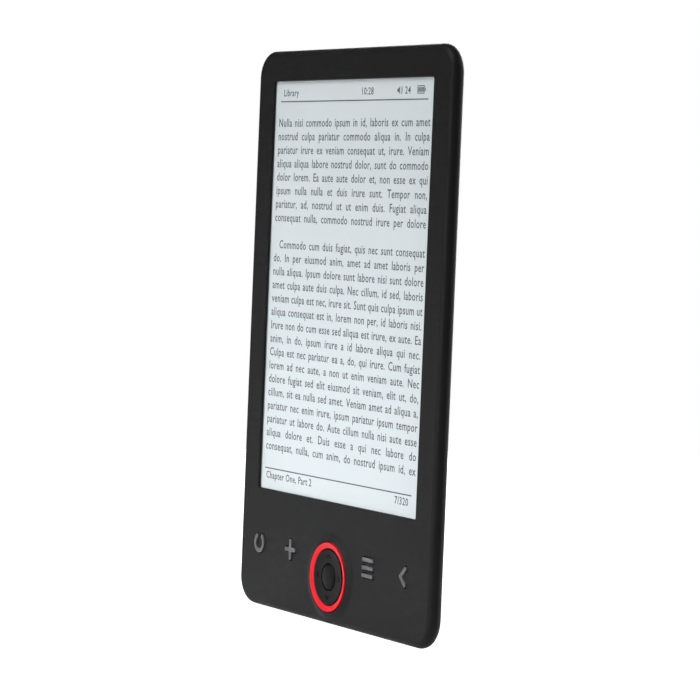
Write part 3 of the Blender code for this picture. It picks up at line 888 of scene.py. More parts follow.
@dataclass(frozen=True)
class CopperFilm(Finish):
    """Amber film with copper tracks running along z."""

    film: Colour
    copper: Colour
    pitch: float = 0.8

    def paint(self, graph: Graph, shader: bpy.types.Node, place: Any) -> None:
        """Feed the shader with tracks on a stained film.

        Args:
            graph: The material's graph.
            shader: Its Principled shader.
            place: The place in millimetres.
        """
        split = graph.add("ShaderNodeSeparateXYZ")
        graph.feed(split.inputs[0], place)
        wave = graph.maths("PINGPONG", split.outputs[0], self.pitch / 2)
        track = graph.spread(wave, self.pitch * 0.2, self.pitch * 0.26)
        stain = graph.noise(place, 0.4, 3.0, 0.5)
        amber = graph.blend(stain, shade(tuple(c * 0.75 for c in self.film)), shade(self.film))
        graph.feed(shader.inputs["Base Color"], graph.blend(track, amber, shade(self.copper)))
        graph.feed(shader.inputs["Roughness"], graph.spread(stain, 0.3, 0.7, 0.3, 0.45))
        add_bump(graph, shader, track, 0.02 * MM)


@dataclass(frozen=True)
class CircuitLaminate(Finish):
    """Solder mask over copper tracks, with bare pads."""

    mask: Colour
    track: Colour
    pad: Colour

    def paint(self, graph: Graph, shader: bpy.types.Node, place: Any) -> None:
        """Feed the shader with zones of tracks and round pads.

        Args:
            graph: The material's graph.
            shader: Its Principled shader.
            place: The place in millimetres.
        """
        split = graph.add("ShaderNodeSeparateXYZ")
        graph.feed(split.inputs[0], place)
        zone = graph.add("ShaderNodeTexVoronoi", distance="CHEBYCHEV", feature="F1")
        graph.feed(zone.inputs["Vector"], place)
        zone.inputs["Scale"].default_value = 0.16
        side = graph.spread(zone.outputs["Color"], 0.49, 0.51)
        along = graph.maths("PINGPONG", split.outputs[0], 0.35)
        across = graph.maths("PINGPONG", split.outputs[2], 0.35)
        line = graph.maths("ADD", graph.maths("MULTIPLY", along, side), graph.maths(
            "MULTIPLY", across, graph.maths("SUBTRACT", 1.0, side)))
        tracks = graph.spread(line, 0.18, 0.22)
        dots = graph.spread(graph.cells(place, 0.45), 0.16, 0.12)
        base = graph.blend(tracks, shade(self.mask), shade(self.track))
        graph.feed(shader.inputs["Base Color"], graph.blend(dots, base, shade(self.pad)))
        graph.feed(shader.inputs["Metallic"], dots)
        graph.feed(shader.inputs["Roughness"], graph.spread(tracks, 0.0, 1.0, 0.42, 0.34))
        add_bump(graph, shader, graph.maths("ADD", tracks, dots), 0.03 * MM)


FRONT_PLASTIC = MouldedPlastic("front plastic", (0.0092, 0.0092, 0.0097), 0.5, 0.15)
REAR_PLASTIC = MouldedPlastic("rear plastic", (0.0105, 0.0105, 0.011), 0.55, 0.25, 0.42, 0.01 * MM)
RED_TRIM = MouldedPlastic("red trim", (0.68, 0.006, 0.015), 0.4, 0.25, 0.3, 0.002 * MM, 0.3, 0.15)
NAV_PLASTIC = MouldedPlastic("navigation plastic", (0.0056, 0.0056, 0.006), 0.45, 0.11, 0.25,
                             0.003 * MM, 0.5, 0.3)
OK_PLASTIC = MouldedPlastic("button plastic", (0.0035, 0.0035, 0.0038), 0.42, 0.1, 0.25,
                            0.003 * MM, 0.5, 0.3)
KEY_PLASTIC = MouldedPlastic("key grey", (0.095, 0.095, 0.102), 0.4, 0.4, 0.25, 0.003 * MM, 0.4, 0.3)
CONNECTOR_PLASTIC = MouldedPlastic("connector plastic", (0.03, 0.03, 0.032), 0.5, 0.4)
CREAM_PLASTIC = MouldedPlastic("cream connector", (0.62, 0.58, 0.48), 0.5, 0.4)
CHIP_PLASTIC = MouldedPlastic("chip resin", (0.022, 0.022, 0.023), 0.6, 0.35, 0.2, 0.008 * MM)
PANEL_EDGE = MouldedPlastic("panel edge", (0.28, 0.30, 0.31), 0.3, 0.5, 0.5, 0.002 * MM)
PAGE = ElectronicPaper("page", (0.635, 0.69, 0.705), (0.578, 0.634, 0.653))
INK = PrintedInk("page ink", (0.058, 0.068, 0.082))
FOAM = FoamRubber("foam", (0.06, 0.06, 0.06))
FLEX = CopperFilm("amber film", (0.42, 0.17, 0.03), (0.62, 0.33, 0.14))
BOARD = CircuitLaminate("board laminate", (0.010, 0.075, 0.032), (0.022, 0.16, 0.07), (0.83, 0.66, 0.34))
FRAME_METAL = SheetMetal("frame metal", (0.56, 0.57, 0.60), 0.36)
TIN = SheetMetal("tinned steel", (0.66, 0.66, 0.64), 0.3)
SPRING = SheetMetal("spring steel", (0.60, 0.60, 0.62), 0.25)
SCREW_STEEL = SheetMetal("screw steel", (0.07, 0.07, 0.075), 0.38)
GOLD = SheetMetal("contact gold", (0.86, 0.63, 0.28), 0.22)
POUCH = SheetMetal("battery pouch", (0.62, 0.63, 0.66), 0.3, 0.05 * MM)
LEAD_RED = MouldedPlastic("red lead", (0.45, 0.012, 0.012), 0.42, 0.4)
LEAD_BLACK = MouldedPlastic("black lead", (0.015, 0.015, 0.016), 0.42, 0.4)


# ---- sub-assemblies -----------------------------------------------------------------------
@dataclass
class SubAssembly:
    """A group of pieces that are built and dressed together."""

    pieces: list[bpy.types.Object] = field(default_factory=list, init=False)

    def settle(self, piece: bpy.types.Object, body: str, slot: str,
               *nodes: str) -> bpy.types.Object:
        """Put a new piece on its body.

        Args:
            piece: The piece, in its place.
            body: The CAD body that carries it.
            slot: Name of the material slot that the piece stands for; not used.
            *nodes: The CAD nodes that it stands for.

        Returns:
            The same piece.
        """
        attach(piece, body)
        if nodes:
            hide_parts(*nodes)
        self.pieces.append(piece)
        return piece

    def dress(self, piece: bpy.types.Object, material: bpy.types.Material) -> None:
        """Give a piece one material."""
        piece.data.materials.clear()
        piece.data.materials.append(material)

    def dress_node(self, node: str, material: bpy.types.Material, width: float = 0.0) -> None:
        """Give a CAD node a material, and rounded edges where a width is given.

        Args:
            node: Name of the CAD node.
            material: The material.
            width: Width of the rounding, 0 for none.
        """
        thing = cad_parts[node]
        self.dress(thing, material)
        if width:
            weld = thing.modifiers.new("joined corners", "WELD")
            weld.merge_threshold = 0.001 * MM
            round_over(thing, width)
        self.pieces.append(thing)


@dataclass
class Casing:
    """Outer form that the front and rear shells share."""

    width: float
    height: float
    depth: float
    corner: float = 8.0 * MM
    fillet: float = 2.0 * MM
    sweep_sides: float = 20.0 * MM
    sweep_ends: float = 6.0 * MM
    parting: float = 2.2 * MM
    seam: float = 0.08 * MM
    wall: float = 1.2 * MM
    steps: int = 22

    @classmethod
    def measured(cls) -> "Casing":
        """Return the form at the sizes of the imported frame."""
        low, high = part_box("rear_cover")
        return cls(high.x - low.x, high.z - low.z, high.y - FRONT_Y)

    def bend(self, depth: float) -> float:
        """Return how far the back has curved in at a depth, from 0 to 1."""
        part = min(1.0, max(0.0, (depth - self.fillet) / (self.depth - self.fillet)))
        return 1.0 - math.sqrt(1.0 - part * part)

    def outer(self, depth: float, shrink: float = 0.0) -> list[Vector]:
        """Return the outside outline at a depth, drawn in by a given amount.

        Args:
            depth: The depth.
            shrink: How far the outline is drawn in.

        Returns:
            The points at that depth.
        """
        half_width, half_height, radius = self.width / 2, self.height / 2, self.corner
        if depth < self.fillet:
            inset = self.fillet - math.sqrt(self.fillet ** 2 - (self.fillet - depth) ** 2)
            half_width, half_height, radius = half_width - inset, half_height - inset, radius - inset
        half_width -= self.sweep_sides * self.bend(depth) + shrink
        half_height -= self.sweep_ends * self.bend(depth) + shrink
        outline = rounded_rectangle(half_width, half_height, radius - shrink, steps=self.steps)
        return [at(x, depth, z) for x, z in outline]

    def inner(self, depth: float) -> list[Vector]:
        """Return the inside outline of the rear shell at a depth.

        Args:
            depth: The depth.

        Returns:
            The points at that depth.
        """
        floor = self.depth - self.wall
        part = min(1.0, (depth - self.fillet) / (floor - self.fillet))
        bend = 1.0 - math.sqrt(1.0 - part * part)
        side = self.wall + (self.sweep_sides - self.wall) * bend
        end = self.wall + (self.sweep_ends - self.wall) * bend
        outline = rounded_rectangle(self.width / 2 - side, self.height / 2 - end,
                                    self.corner - self.wall, steps=self.steps)
        return [at(x, depth, z) for x, z in outline]

    def lower_edge(self, depth: float) -> float:
        """Return the z of the lower edge's surface at a depth."""
        return -(self.height / 2 - self.sweep_ends * self.bend(depth))


class Symbol(Enum):
    """The signs that the four outer keys carry."""

    REFRESH = "refresh"
    PLUS = "plus"
    MENU = "menu"
    BACK = "back"


@dataclass
class SymbolKey(SubAssembly):
    """A key whose face is its raised sign."""

    symbol: Symbol
    stroke: float = 1.2 * MM
    arc_radius: float = 2.4 * MM      # the refresh sign's open ring
    arc_first: float = 120.0
    arc_last: float = 420.0
    arc_drop: float = 0.1 * MM
    plus_arm: float = 3.0 * MM
    bar_half_width: float = 2.95 * MM
    bar_half_height: float = 0.58 * MM
    bar_pitch: float = 2.25 * MM
    corner: float = 0.36 * MM
    rise: float = 0.45 * MM
    edge: float = 0.14 * MM
    gap: float = 0.3 * MM
    flange_front: float = 1.7 * MM
    flange_back: float = 2.2 * MM
    flange_corner: float = 0.6 * MM
    overlap: float = 0.2 * MM         # how far the sign and the nub reach into the flange
    nub_back: float = 2.4 * MM
    nub_radius: float = 1.2 * MM

    @property
    def node(self) -> str:
        """Return the name of the key's CAD node."""
        return f"{self.symbol.value}_key"

    @property
    def centre(self) -> tuple[float, float]:
        """Return the x and z of the key's middle."""
        return middle(self.node)

    def outlines(self, margin: float) -> list[Outline]:
        """Return the sign's outlines, grown by a margin.

        Args:
            margin: How far it is grown.

        Returns:
            One outline for each separate part of the sign.
        """
        x, z = self.centre
        if self.symbol is Symbol.REFRESH:
            spread = math.degrees(margin / self.arc_radius)
            return [arc_band((x, z - self.arc_drop), self.arc_radius, self.stroke + 2 * margin,
                             self.arc_first - spread, self.arc_last + spread, 0.22 * MM)]
        if self.symbol is Symbol.MENU:
            return [rounded_rectangle(self.bar_half_width + margin, self.bar_half_height + margin,
                                      0.3 * MM + margin / 2, (x, z + row * self.bar_pitch), 5)
                    for row in (-1, 0, 1)]
        corners = self.plus_corners(margin) if self.symbol is Symbol.PLUS else self.back_corners(margin)
        rounded = round_corners(corners, self.corner)
        return [[(x + dx, z + dz) for dx, dz in rounded]]

    def plus_corners(self, margin: float) -> Outline:
        """Return the corners of the plus sign.

        Args:
            margin: How far it is grown.

        Returns:
            The corners about the key's middle.
        """
        arm, half = self.plus_arm + margin, self.stroke / 2 + margin
        return [(half, arm), (-half, arm), (-half, half), (-arm, half), (-arm, -half), (-half, -half),
                (-half, -arm), (half, -arm), (half, -half), (arm, -half), (arm, half), (half, half)]

    def back_corners(self, margin: float) -> Outline:
        """Return the corners of the chevron that points left.

        Args:
            margin: How far it is grown.

        Returns:
            The corners about the key's middle.
        """
        reach, arm = 1.35 * MM, 2.55 * MM
        half = self.stroke / 2 + margin
        slope = math.atan2(arm, 2 * reach)
        side_x, side_z = half * math.sin(slope), half * math.cos(slope)
        end_x, end_z = reach + margin * math.cos(slope), arm + margin * math.sin(slope)
        tip = half / math.sin(slope)
        return [(end_x - side_x, end_z + side_z), (-reach - tip, 0.0),
                (end_x - side_x, -end_z - side_z), (end_x + side_x, side_z - end_z),
                (tip - reach, 0.0), (end_x + side_x, end_z - side_z)]

    def raised_sign(self, number: int) -> bpy.types.Object:
        """Return one outline of the sign as a solid with a rounded face edge.

        Args:
            number: Which of the outlines.

        Returns:
            The solid.
        """
        levels = [(0.0, self.flange_front + self.overlap)]
        levels += [(-self.edge * b, self.edge * a - self.rise) for a, b in quarter_turn(4)]
        return loft("sign", [[at(x, depth, z) for x, z in self.outlines(margin)[number]]
                             for margin, depth in levels])

    def build(self) -> None:
        """Build the key: the flange behind the bezel, the nub and the sign."""
        low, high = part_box(self.node)
        x, z = self.centre
        outline = rounded_rectangle((high.x - low.x) / 2, (high.z - low.z) / 2,
                                    self.flange_corner, (x, z))
        key = prism(f"{self.symbol.value}_key_cap", outline, self.flange_front, self.flange_back)
        front = self.flange_back - self.overlap
        nub = turned("nub", (x, z), [(0.0, front), (self.nub_radius, front),
                                     (self.nub_radius, self.nub_back), (0.0, self.nub_back)], 32)
        combine(key, [nub], "UNION")
        combine(key, [self.raised_sign(i) for i in range(len(self.outlines(0.0)))], "UNION")
        self.settle(smooth(key), self.node, "key_grey", self.node)

    def finish(self) -> None:
        """Dress the key."""
        self.dress(self.pieces[0], KEY_PLASTIC.material())


@dataclass
class FrontShell(SubAssembly):
    """The front shell with the display window, the key holes and the collar of the ring."""

    casing: Casing
    keys: list[SymbolKey]
    window_width: float = 90.0 * MM
    window_height: float = 121.5 * MM
    window_z: float = WINDOW_Z
    window_corner: float = 0.7 * MM
    window_edge: float = 0.3 * MM
    plate: float = 1.4 * MM
    ledge: float = 0.7 * MM
    rim: float = 1.6 * MM
    pocket_margin: float = 0.5 * MM
    collar_radius: float = 13.2 * MM
    collar_rise: float = 0.8 * MM
    seat_radius: float = 10.3 * MM
    seat_depth: float = 0.4 * MM
    seat_edge: float = 0.18 * MM
    rocker_hole: float = 8.5 * MM
    key_edge: float = 0.1 * MM        # rounding of the key holes' mouths
    pilot_radius: float = 0.9 * MM    # the holes in the posts that the board's screws bite into
    pilot_depth: float = 1.9 * MM
    side_tabs: tuple[float, ...] = (-30 * MM, 15 * MM, 60 * MM)
    top_tabs: tuple[float, ...] = (-28 * MM, 0.0, 28 * MM)

    def window(self, margin: float) -> Outline:
        """Return the display window, grown by a margin."""
        return rounded_rectangle(self.window_width / 2 + margin, self.window_height / 2 + margin,
                                 self.window_corner + margin, (0.0, self.window_z), 8)

    def tray(self) -> bpy.types.Object:
        """Return the shell before its holes are cut.

        Returns:
            The solid.
        """
        casing, steps = self.casing, 12
        depths = [casing.fillet * (1 - math.sin(math.pi / 2 * (1 - i / steps))) for i in range(steps + 1)]
        rings = [casing.outer(depth) for depth in depths]
        rings += [casing.outer(casing.parting - casing.seam),
                  casing.outer(casing.parting - casing.seam * 0.3, casing.seam * 0.3),
                  casing.outer(casing.parting, casing.seam)]
        rim = rounded_rectangle(casing.width / 2 - self.rim, casing.height / 2 - self.rim,
                                casing.corner - self.rim, steps=casing.steps)
        rings += [[at(x, depth, z) for x, z in rim] for depth in (casing.parting, self.plate)]
        return loft("front_shell", rings)

    def collar(self) -> bpy.types.Object:
        """Return the low mound that carries the red ring.

        Returns:
            The solid.
        """
        steps = 12
        run = self.seat_radius - 0.25 * MM - self.collar_radius
        slope = [(self.collar_radius + run * i / steps,
                  -self.collar_rise * 0.5 * (1 - math.cos(math.pi * i / steps)))
                 for i in range(steps + 1)]
        return turned("collar", middle("trim_ring"), [
            (0.0, self.plate / 2), (self.collar_radius, self.plate / 2)] + slope
            + [(0.0, -self.collar_rise)], 128)

    def inner_stays(self) -> list[bpy.types.Object]:
        """Return the posts for the board's screws and the snap tabs along the edges.

        Returns:
            The separate solids.
        """
        post_radius, post_back = 1.8 * MM, 3.8 * MM
        stays = [turned("post", middle(f"board_screw_{i}"), [
            (0.0, self.plate / 2), (post_radius, self.plate / 2), (post_radius, post_back),
            (0.0, post_back)], 32) for i in range(1, 5)]
        near, far, half, back = 2.6 * MM, 3.3 * MM, 4.0 * MM, 3.4 * MM
        side, end = self.casing.width / 2, self.casing.height / 2
        spans = [(sign * (side - (near + far) / 2), z, (far - near) / 2, half)
                 for z in self.side_tabs for sign in (-1, 1)]
        spans += [(x, end - (near + far) / 2, half, (far - near) / 2) for x in self.top_tabs]
        spans.append((0.0, (near + far) / 2 - end, half, (far - near) / 2))
        stays += [block("tab", (x - dx, self.plate / 2, z - dz), (x + dx, back, z + dz))
                  for x, z, dx, dz in spans]
        return stays

    def build(self) -> None:
        """Build the shell and cut its openings."""
        shell = self.tray()
        combine(shell, [self.collar()], "UNION")
        combine(shell, self.inner_stays(), "UNION")
        combine(shell, [front_hole(self.window, self.window_edge, 2 * self.plate, 6)], "DIFFERENCE")
        low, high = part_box("display_panel")
        margin = self.pocket_margin
        pocket = block("pocket", (low.x - margin, self.ledge, low.z - margin),
                       (high.x + margin, 2 * self.plate, high.z + margin))
        combine(shell, [pocket], "DIFFERENCE")
        holes = []
        for key in self.keys:
            for i in range(len(key.outlines(0.0))):
                holes.append(front_hole(lambda margin, key=key, i=i: key.outlines(key.gap + margin)[i],
                                        self.key_edge, 2 * self.plate, 3))
        top = -self.collar_rise
        rounding = [(self.seat_radius + self.seat_edge * a, top + self.seat_edge * b)
                    for a, b in quarter_turn(4)]
        holes.append(turned("ring_seat", middle("trim_ring"), [
            (0.0, -CLEAR), (rounding[0][0], -CLEAR)] + rounding + [
            (self.seat_radius, self.seat_depth), (self.rocker_hole, self.seat_depth),
            (self.rocker_hole, CLEAR), (0.0, CLEAR)], 128))
        holes += [turned("pilot_hole", middle(f"board_screw_{i}"), [
            (0.0, self.pilot_depth), (self.pilot_radius, self.pilot_depth),
            (self.pilot_radius, 2 * CLEAR), (0.0, 2 * CLEAR)], 24) for i in range(1, 5)]
        combine(shell, holes, "DIFFERENCE")
        self.settle(smooth(shell), "housing", "front_plastic", "front_bezel")

    def finish(self) -> None:
        """Dress the shell."""
        self.dress(self.pieces[0], FRONT_PLASTIC.material())


@dataclass(frozen=True)
class EdgeOpening:
    """An opening in the lower edge, in line with the CAD node that it serves."""

    node: str
    depth: float
    half_width: float
    half_depth: float
    radius: float
    length: float = 5 * MM

    def outline(self, margin: float) -> Outline:
        """Return the opening's (x, depth) outline, grown by a margin."""
        return rounded_rectangle(self.half_width + margin, self.half_depth + margin,
                                 self.radius + margin, (middle(self.node)[0], self.depth), 8)


@dataclass
class RearShell(SubAssembly):
    """The rear shell, its screws and the openings of its lower edge."""

    casing: Casing
    screw_count: int = 6
    boss_radius: float = 2.6 * MM
    recess_radius: float = 2.2 * MM
    shank_hole: float = 1.2 * MM
    recess_floor: float = 7.2 * MM
    boss_front: float = 6.3 * MM
    boss_back: float = 7.4 * MM
    hole_front: float = 5 * MM
    pinhole_radius: float = 0.6 * MM
    pinhole_front: float = 6 * MM
    mouth_edge: float = 0.22 * MM
    openings: tuple[EdgeOpening, ...] = (
        EdgeOpening("usb_socket", 4.15 * MM, 4.1 * MM, 1.6 * MM, 0.7 * MM),
        EdgeOpening("headphone_jack", 4.4 * MM, 1.95 * MM, 1.95 * MM, 1.949 * MM),
        EdgeOpening("card_slot", 5.95 * MM, 6.2 * MM, 0.5 * MM, 0.35 * MM),
        EdgeOpening("power_button", 3.6 * MM, 4.0 * MM, 0.8 * MM, 0.75 * MM, 2.6 * MM),
    )

    def screw_places(self) -> list[tuple[float, float]]:
        """Return the x and z of each cover screw."""
        return [middle(f"cover_screw_{i}") for i in range(1, self.screw_count + 1)]

    def tub(self) -> bpy.types.Object:
        """Return the curved shell before its openings are cut.

        Returns:
            The solid.
        """
        casing = self.casing

        def levels(last: float, steps: int) -> list[float]:
            """Return depths that crowd together where the back turns flat.

            Args:
                last: The deepest one.
                steps: How many steps there are.

            Returns:
                The depths, the first one at the seam.
            """
            first = casing.parting + casing.seam
            return [first + (last - first) * math.sin(math.pi / 2 * i / steps)
                    for i in range(steps + 1)]

        outside = [casing.outer(casing.parting, casing.seam),
                   casing.outer(casing.parting + casing.seam * 0.3, casing.seam * 0.3)]
        outside += [casing.outer(depth) for depth in levels(casing.depth, 26)]
        inside = [casing.inner(casing.parting)]
        inside += [casing.inner(depth) for depth in levels(casing.depth - casing.wall, 14)]
        return loft("rear_shell", outside[::-1] + inside)

    def back_hole(self, centre: tuple[float, float], profile: Outline, steps: int = 48) -> bpy.types.Object:
        """Return a cutter from the back whose mouth has a rounded edge.

        Args:
            centre: The x and z of its axis.
            profile: The (radius, depth) points inside the mouth.
            steps: Straight steps round the axis.

        Returns:
            The cutter.
        """
        radius = profile[-1][0]
        back = self.casing.depth
        mouth = [(radius + self.mouth_edge * b, back - self.mouth_edge * a)
                 for a, b in quarter_turn(4)]
        wide = radius + self.mouth_edge
        return turned("back_hole", centre, [(0.0, profile[0][1])] + profile + mouth
                      + [(wide, back + MM), (0.0, back + MM)], steps)

    def edge_mouth(self, outline: OutlineAt, inside: float) -> bpy.types.Object:
        """Return a cutter through the lower edge that follows its curve.

        Args:
            outline: Gives the opening's (x, depth) outline at a margin.
            inside: The z where the cutter ends.

        Returns:
            The cutter.
        """
        edge, start = self.mouth_edge, 0.05 * MM
        outside = -self.casing.height / 2 - MM
        rings = [[at(x, depth, outside) for x, depth in outline(edge)]]
        rings += [[at(x, depth, self.casing.lower_edge(depth) + (edge + start) * b - start)
                   for x, depth in outline(edge * a)] for a, b in quarter_turn(4)]
        rings.append([at(x, depth, inside) for x, depth in outline(0.0)])
        return loft("edge_mouth", rings)

    def build(self) -> None:
        """Build the shell, cut its openings and make the screws."""
        shell = self.tub()
        bosses = [turned("boss", place, [(0.0, self.boss_front), (self.boss_radius, self.boss_front),
                                         (self.boss_radius, self.boss_back), (0.0, self.boss_back)], 32)
                  for place in self.screw_places()]
        combine(shell, bosses, "UNION")
        holes = [self.back_hole(place, [(self.shank_hole, self.hole_front),
                                        (self.shank_hole, self.recess_floor),
                                        (self.recess_radius, self.recess_floor)])
                 for place in self.screw_places()]
        holes.append(self.back_hole(middle("reset_switch"), [(self.pinhole_radius, self.pinhole_front)],
                                    24))
        combine(shell, holes, "DIFFERENCE")
        for opening in self.openings:
            mouth = self.edge_mouth(opening.outline, opening.length - self.casing.height / 2)
            combine(shell, [mouth], "DIFFERENCE")
        self.settle(smooth(shell), "housing", "rear_plastic", "rear_cover")
        for number, place in enumerate(self.screw_places(), 1):
            self.settle(self.screw(f"screw_head_{number}", place), "housing", "screw_steel",
                        f"cover_screw_{number}")

    def screw(self, name: str, place: tuple[float, float]) -> bpy.types.Object:
        """Return a pan-headed screw with a cross recess and a threaded shank.

        Args:
            name: Name of the new object.
            place: The x and z of its axis.

        Returns:
            The screw.
        """
        tip, seat, crown, clear = 4.7 * MM, 7.5 * MM, 8.05 * MM, 0.2 * MM
        core, thread, pitch = 0.68 * MM, 0.85 * MM, 0.4 * MM
        shank = [(0.0, tip), (core * 0.6, tip)]
        for turn in range(6):
            depth = tip + 0.15 * MM + turn * pitch
            shank += [(core, depth), (thread, depth + pitch * 0.35), (core, depth + pitch * 0.7)]
        head = [(core, seat), (1.72 * MM, seat), (1.8 * MM, seat + 0.08 * MM),
                (1.8 * MM, seat + 0.28 * MM), (1.7 * MM, seat + 0.42 * MM), (1.4 * MM, seat + 0.52 * MM),
                (0.9 * MM, crown), (0.0, crown)]
        screw = turned(name, place, shank + head, 40)
        half, reach, x, z = 0.2 * MM, 1.05 * MM, *place
        taper = 0.55
        for wide, tall in ((reach, half), (half, reach)):
            rings = [[at(x + sx * wide * size, depth, z + sz * tall * size)
                      for sx, sz in ((1, 1), (-1, 1), (-1, -1), (1, -1))]
                     for size, depth in ((taper, seat + 0.05 * MM), (1.0, crown + clear))]
            combine(screw, [loft("slot", rings)], "DIFFERENCE")
        return smooth(screw, 28.0)

    def finish(self) -> None:
        """Dress the shell and the screws."""
        self.dress(self.pieces[0], REAR_PLASTIC.material())
        for screw in self.pieces[1:]:
            self.dress(screw, SCREW_STEEL.material())


@dataclass
class Page:
    """The words, rules and signs that the display shows."""

    centre_z: float
    letter: float = 3.5 * MM          # font size, whose small letters are 0.45 of it
    pitch: float = 4.01 * MM
    left: float = -42.9 * MM
    right: float = 42.6 * MM
    first_line: float = 48.1 * MM     # middle of the first line above the window's middle
    small_height: float = 0.449
    thickness: float = 0.01 * MM
    spacing: float = 1.07
    boldness: float = 0.034 * MM
    weld: float = 0.001 * MM
    seed: int = 5

    def filler(self, count: int) -> str:
        """Return filler text in a made-up order of stock words, as a typesetter uses.

        Args:
            count: How many words.

        Returns:
            Sentences with commas, capitals and full stops.
        """
        words = ("lorem ipsum dolor sit amet elit sed do eiusmod tempor ut labore et dolore "
                 "aliqua enim ad veniam quis nostrud laboris nisi ex ea commodo duis aute "
                 "irure in velit esse cillum nulla non sunt culpa qui anim id est nec per "
                 "a cum fugiat pariatur consequat").split()
        draw = random.Random(self.seed + count)
        text, left = [], 0
        for _ in range(count):
            word = draw.choice(words)
            if left == 0:
                left = draw.randint(9, 17)
                if text:
                    text[-1] = text[-1].rstrip(",") + "."
                word = word.capitalize()
            elif draw.random() < 0.12:
                word += ","
            text.append(word)
            left -= 1
        return " ".join(text).rstrip(",") + "."

    def lettering(self, words: str, x: float, z: float, size: float, align: str = "LEFT",
                  width: float = 0.0, lines: int = 1) -> bpy.types.Object:
        """Return a line or a paragraph of letters as a thin mesh in the plane of the page.

        Args:
            words: What it says.
            x: Its left edge, middle or right edge, as align says.
            z: The base line of its first line.
            size: Font size.
            align: LEFT, CENTER, RIGHT or JUSTIFY.
            width: Width of the paragraph, 0 for a single line.
            lines: Lines that the paragraph may have; the rest is left out.

        Returns:
            The letters.
        """
        curve = bpy.data.curves.new("lettering", "FONT")
        curve.body = words
        curve.size = size
        curve.align_x = align
        curve.align_y = "TOP_BASELINE"
        curve.resolution_u = 2
        curve.extrude = self.thickness / 2
        curve.offset = self.boldness
        curve.space_character = self.spacing
        curve.space_line = self.pitch / size
        if width:
            curve.text_boxes[0].width = width
            curve.text_boxes[0].height = (lines + 0.4) * self.pitch
            curve.overflow = "TRUNCATE"
        source = show(bpy.data.objects.new("lettering", curve))
        mesh = evaluated_mesh(source)
        bpy.data.objects.remove(source, do_unlink=True)
        bpy.data.curves.remove(curve)
        upright = Matrix.Rotation(math.pi / 2, 4, "X")
        place = at(x, PANEL_DEPTH + self.thickness / 2, self.centre_z + z)
        mesh.transform(Matrix.Translation(place) @ upright)
        return show(bpy.data.objects.new("letters", mesh))

    def shape(self, outline: Outline) -> bpy.types.Object:
        """Return a flat printed shape from an outline about the window's middle."""
        return prism("print", [(x, z + self.centre_z) for x, z in outline],
                     PANEL_DEPTH, PANEL_DEPTH + self.thickness)

    def paragraphs(self) -> list[bpy.types.Object]:
        """Return the body text: a short paragraph that runs on from before, and a long one.

        Returns:
            The letters of each paragraph.
        """
        width = self.right - self.left
        drop = self.small_height * self.letter / 2
        first = self.first_line - drop
        second = first - 9 * self.pitch
        return [self.lettering(self.filler(76), self.left, first, self.letter, "JUSTIFY", width, 8),
                self.lettering("  " + self.filler(205), self.left, second, self.letter, "JUSTIFY", width, 16)]

    def header(self) -> list[bpy.types.Object]:
        """Return the line of small signs along the top.

        Returns:
            The words, the signs and the rule.
        """
        base, size, line = 56.35 * MM, 2.95 * MM, 54.75 * MM
        title_x, clock_x, level_x = -40.6 * MM, 8.1 * MM, 28.6 * MM
        speaker_x, speaker_z, cell_x, cell_z = 25.4 * MM, 57.35 * MM, 37.0 * MM, 57.4 * MM
        rule = rounded_rectangle(41.55 * MM, 0.17 * MM, 0.05 * MM, (-0.55 * MM, line), 2)
        return [self.lettering("Library", title_x, base, size),
                self.lettering("10:28", clock_x, base, size, "CENTER"),
                self.lettering("24", level_x, base, size), self.shape(rule),
                *self.speaker(speaker_x, speaker_z), *self.cell(cell_x, cell_z)]

    def speaker(self, x: float, z: float) -> list[bpy.types.Object]:
        """Return the loudspeaker sign of the header.

        Args:
            x: Its middle.
            z: Its middle, about the window's middle.

        Returns:
            The horn and its waves.
        """
        horn = [(x - 0.9 * MM, z - 0.45 * MM), (x - 0.3 * MM, z - 0.45 * MM), (x + 0.4 * MM, z - 1.1 * MM),
                (x + 0.4 * MM, z + 1.1 * MM), (x - 0.3 * MM, z + 0.45 * MM), (x - 0.9 * MM, z + 0.45 * MM)]
        waves = [arc_band((x, z), radius, 0.22 * MM, -42.0, 42.0, 0.05 * MM, 8)
                 for radius in (1.15 * MM, 1.75 * MM)]
        return [self.shape(outline) for outline in [horn] + waves]

    def cell(self, x: float, z: float) -> list[bpy.types.Object]:
        """Return the battery sign of the header: a case, its pole and its bars.

        Args:
            x: Its middle.
            z: Its middle, about the window's middle.

        Returns:
            The case, the bars and the pole.
        """
        half_width, half_height, wall = 1.95 * MM, 1.15 * MM, 0.25 * MM
        middle_z = self.centre_z + z
        case = prism("print", rounded_rectangle(half_width, half_height, 0.3 * MM, (x, middle_z), 3),
                     PANEL_DEPTH, PANEL_DEPTH + self.thickness)
        inside = prism("inside", rounded_rectangle(half_width - wall, half_height - wall, 0.1 * MM,
                                                   (x, middle_z), 3), 0.0, 2 * MM)
        combine(case, [inside], "DIFFERENCE")
        bars = [rounded_rectangle(0.38 * MM, 0.68 * MM, 0.05 * MM, (x + step * 1.05 * MM, z), 2)
                for step in (-1, 0, 1)]
        pole = rounded_rectangle(0.2 * MM, 0.5 * MM, 0.1 * MM, (x + half_width + 0.25 * MM, z), 2)
        return [case] + [self.shape(outline) for outline in bars + [pole]]

    def footer(self) -> list[bpy.types.Object]:
        """Return the rule, the heading and the page number along the bottom.

        Returns:
            The words and the rule.
        """
        base, size, line = -57.6 * MM, 3.05 * MM, -54.6 * MM
        rule = rounded_rectangle(41.95 * MM, 0.17 * MM, 0.05 * MM, (-0.95 * MM, line), 2)
        return [self.lettering("Chapter One, Part 2", -42.1 * MM, base, size),
                self.lettering("7/320", 39.4 * MM, base, size, "RIGHT"), self.shape(rule)]

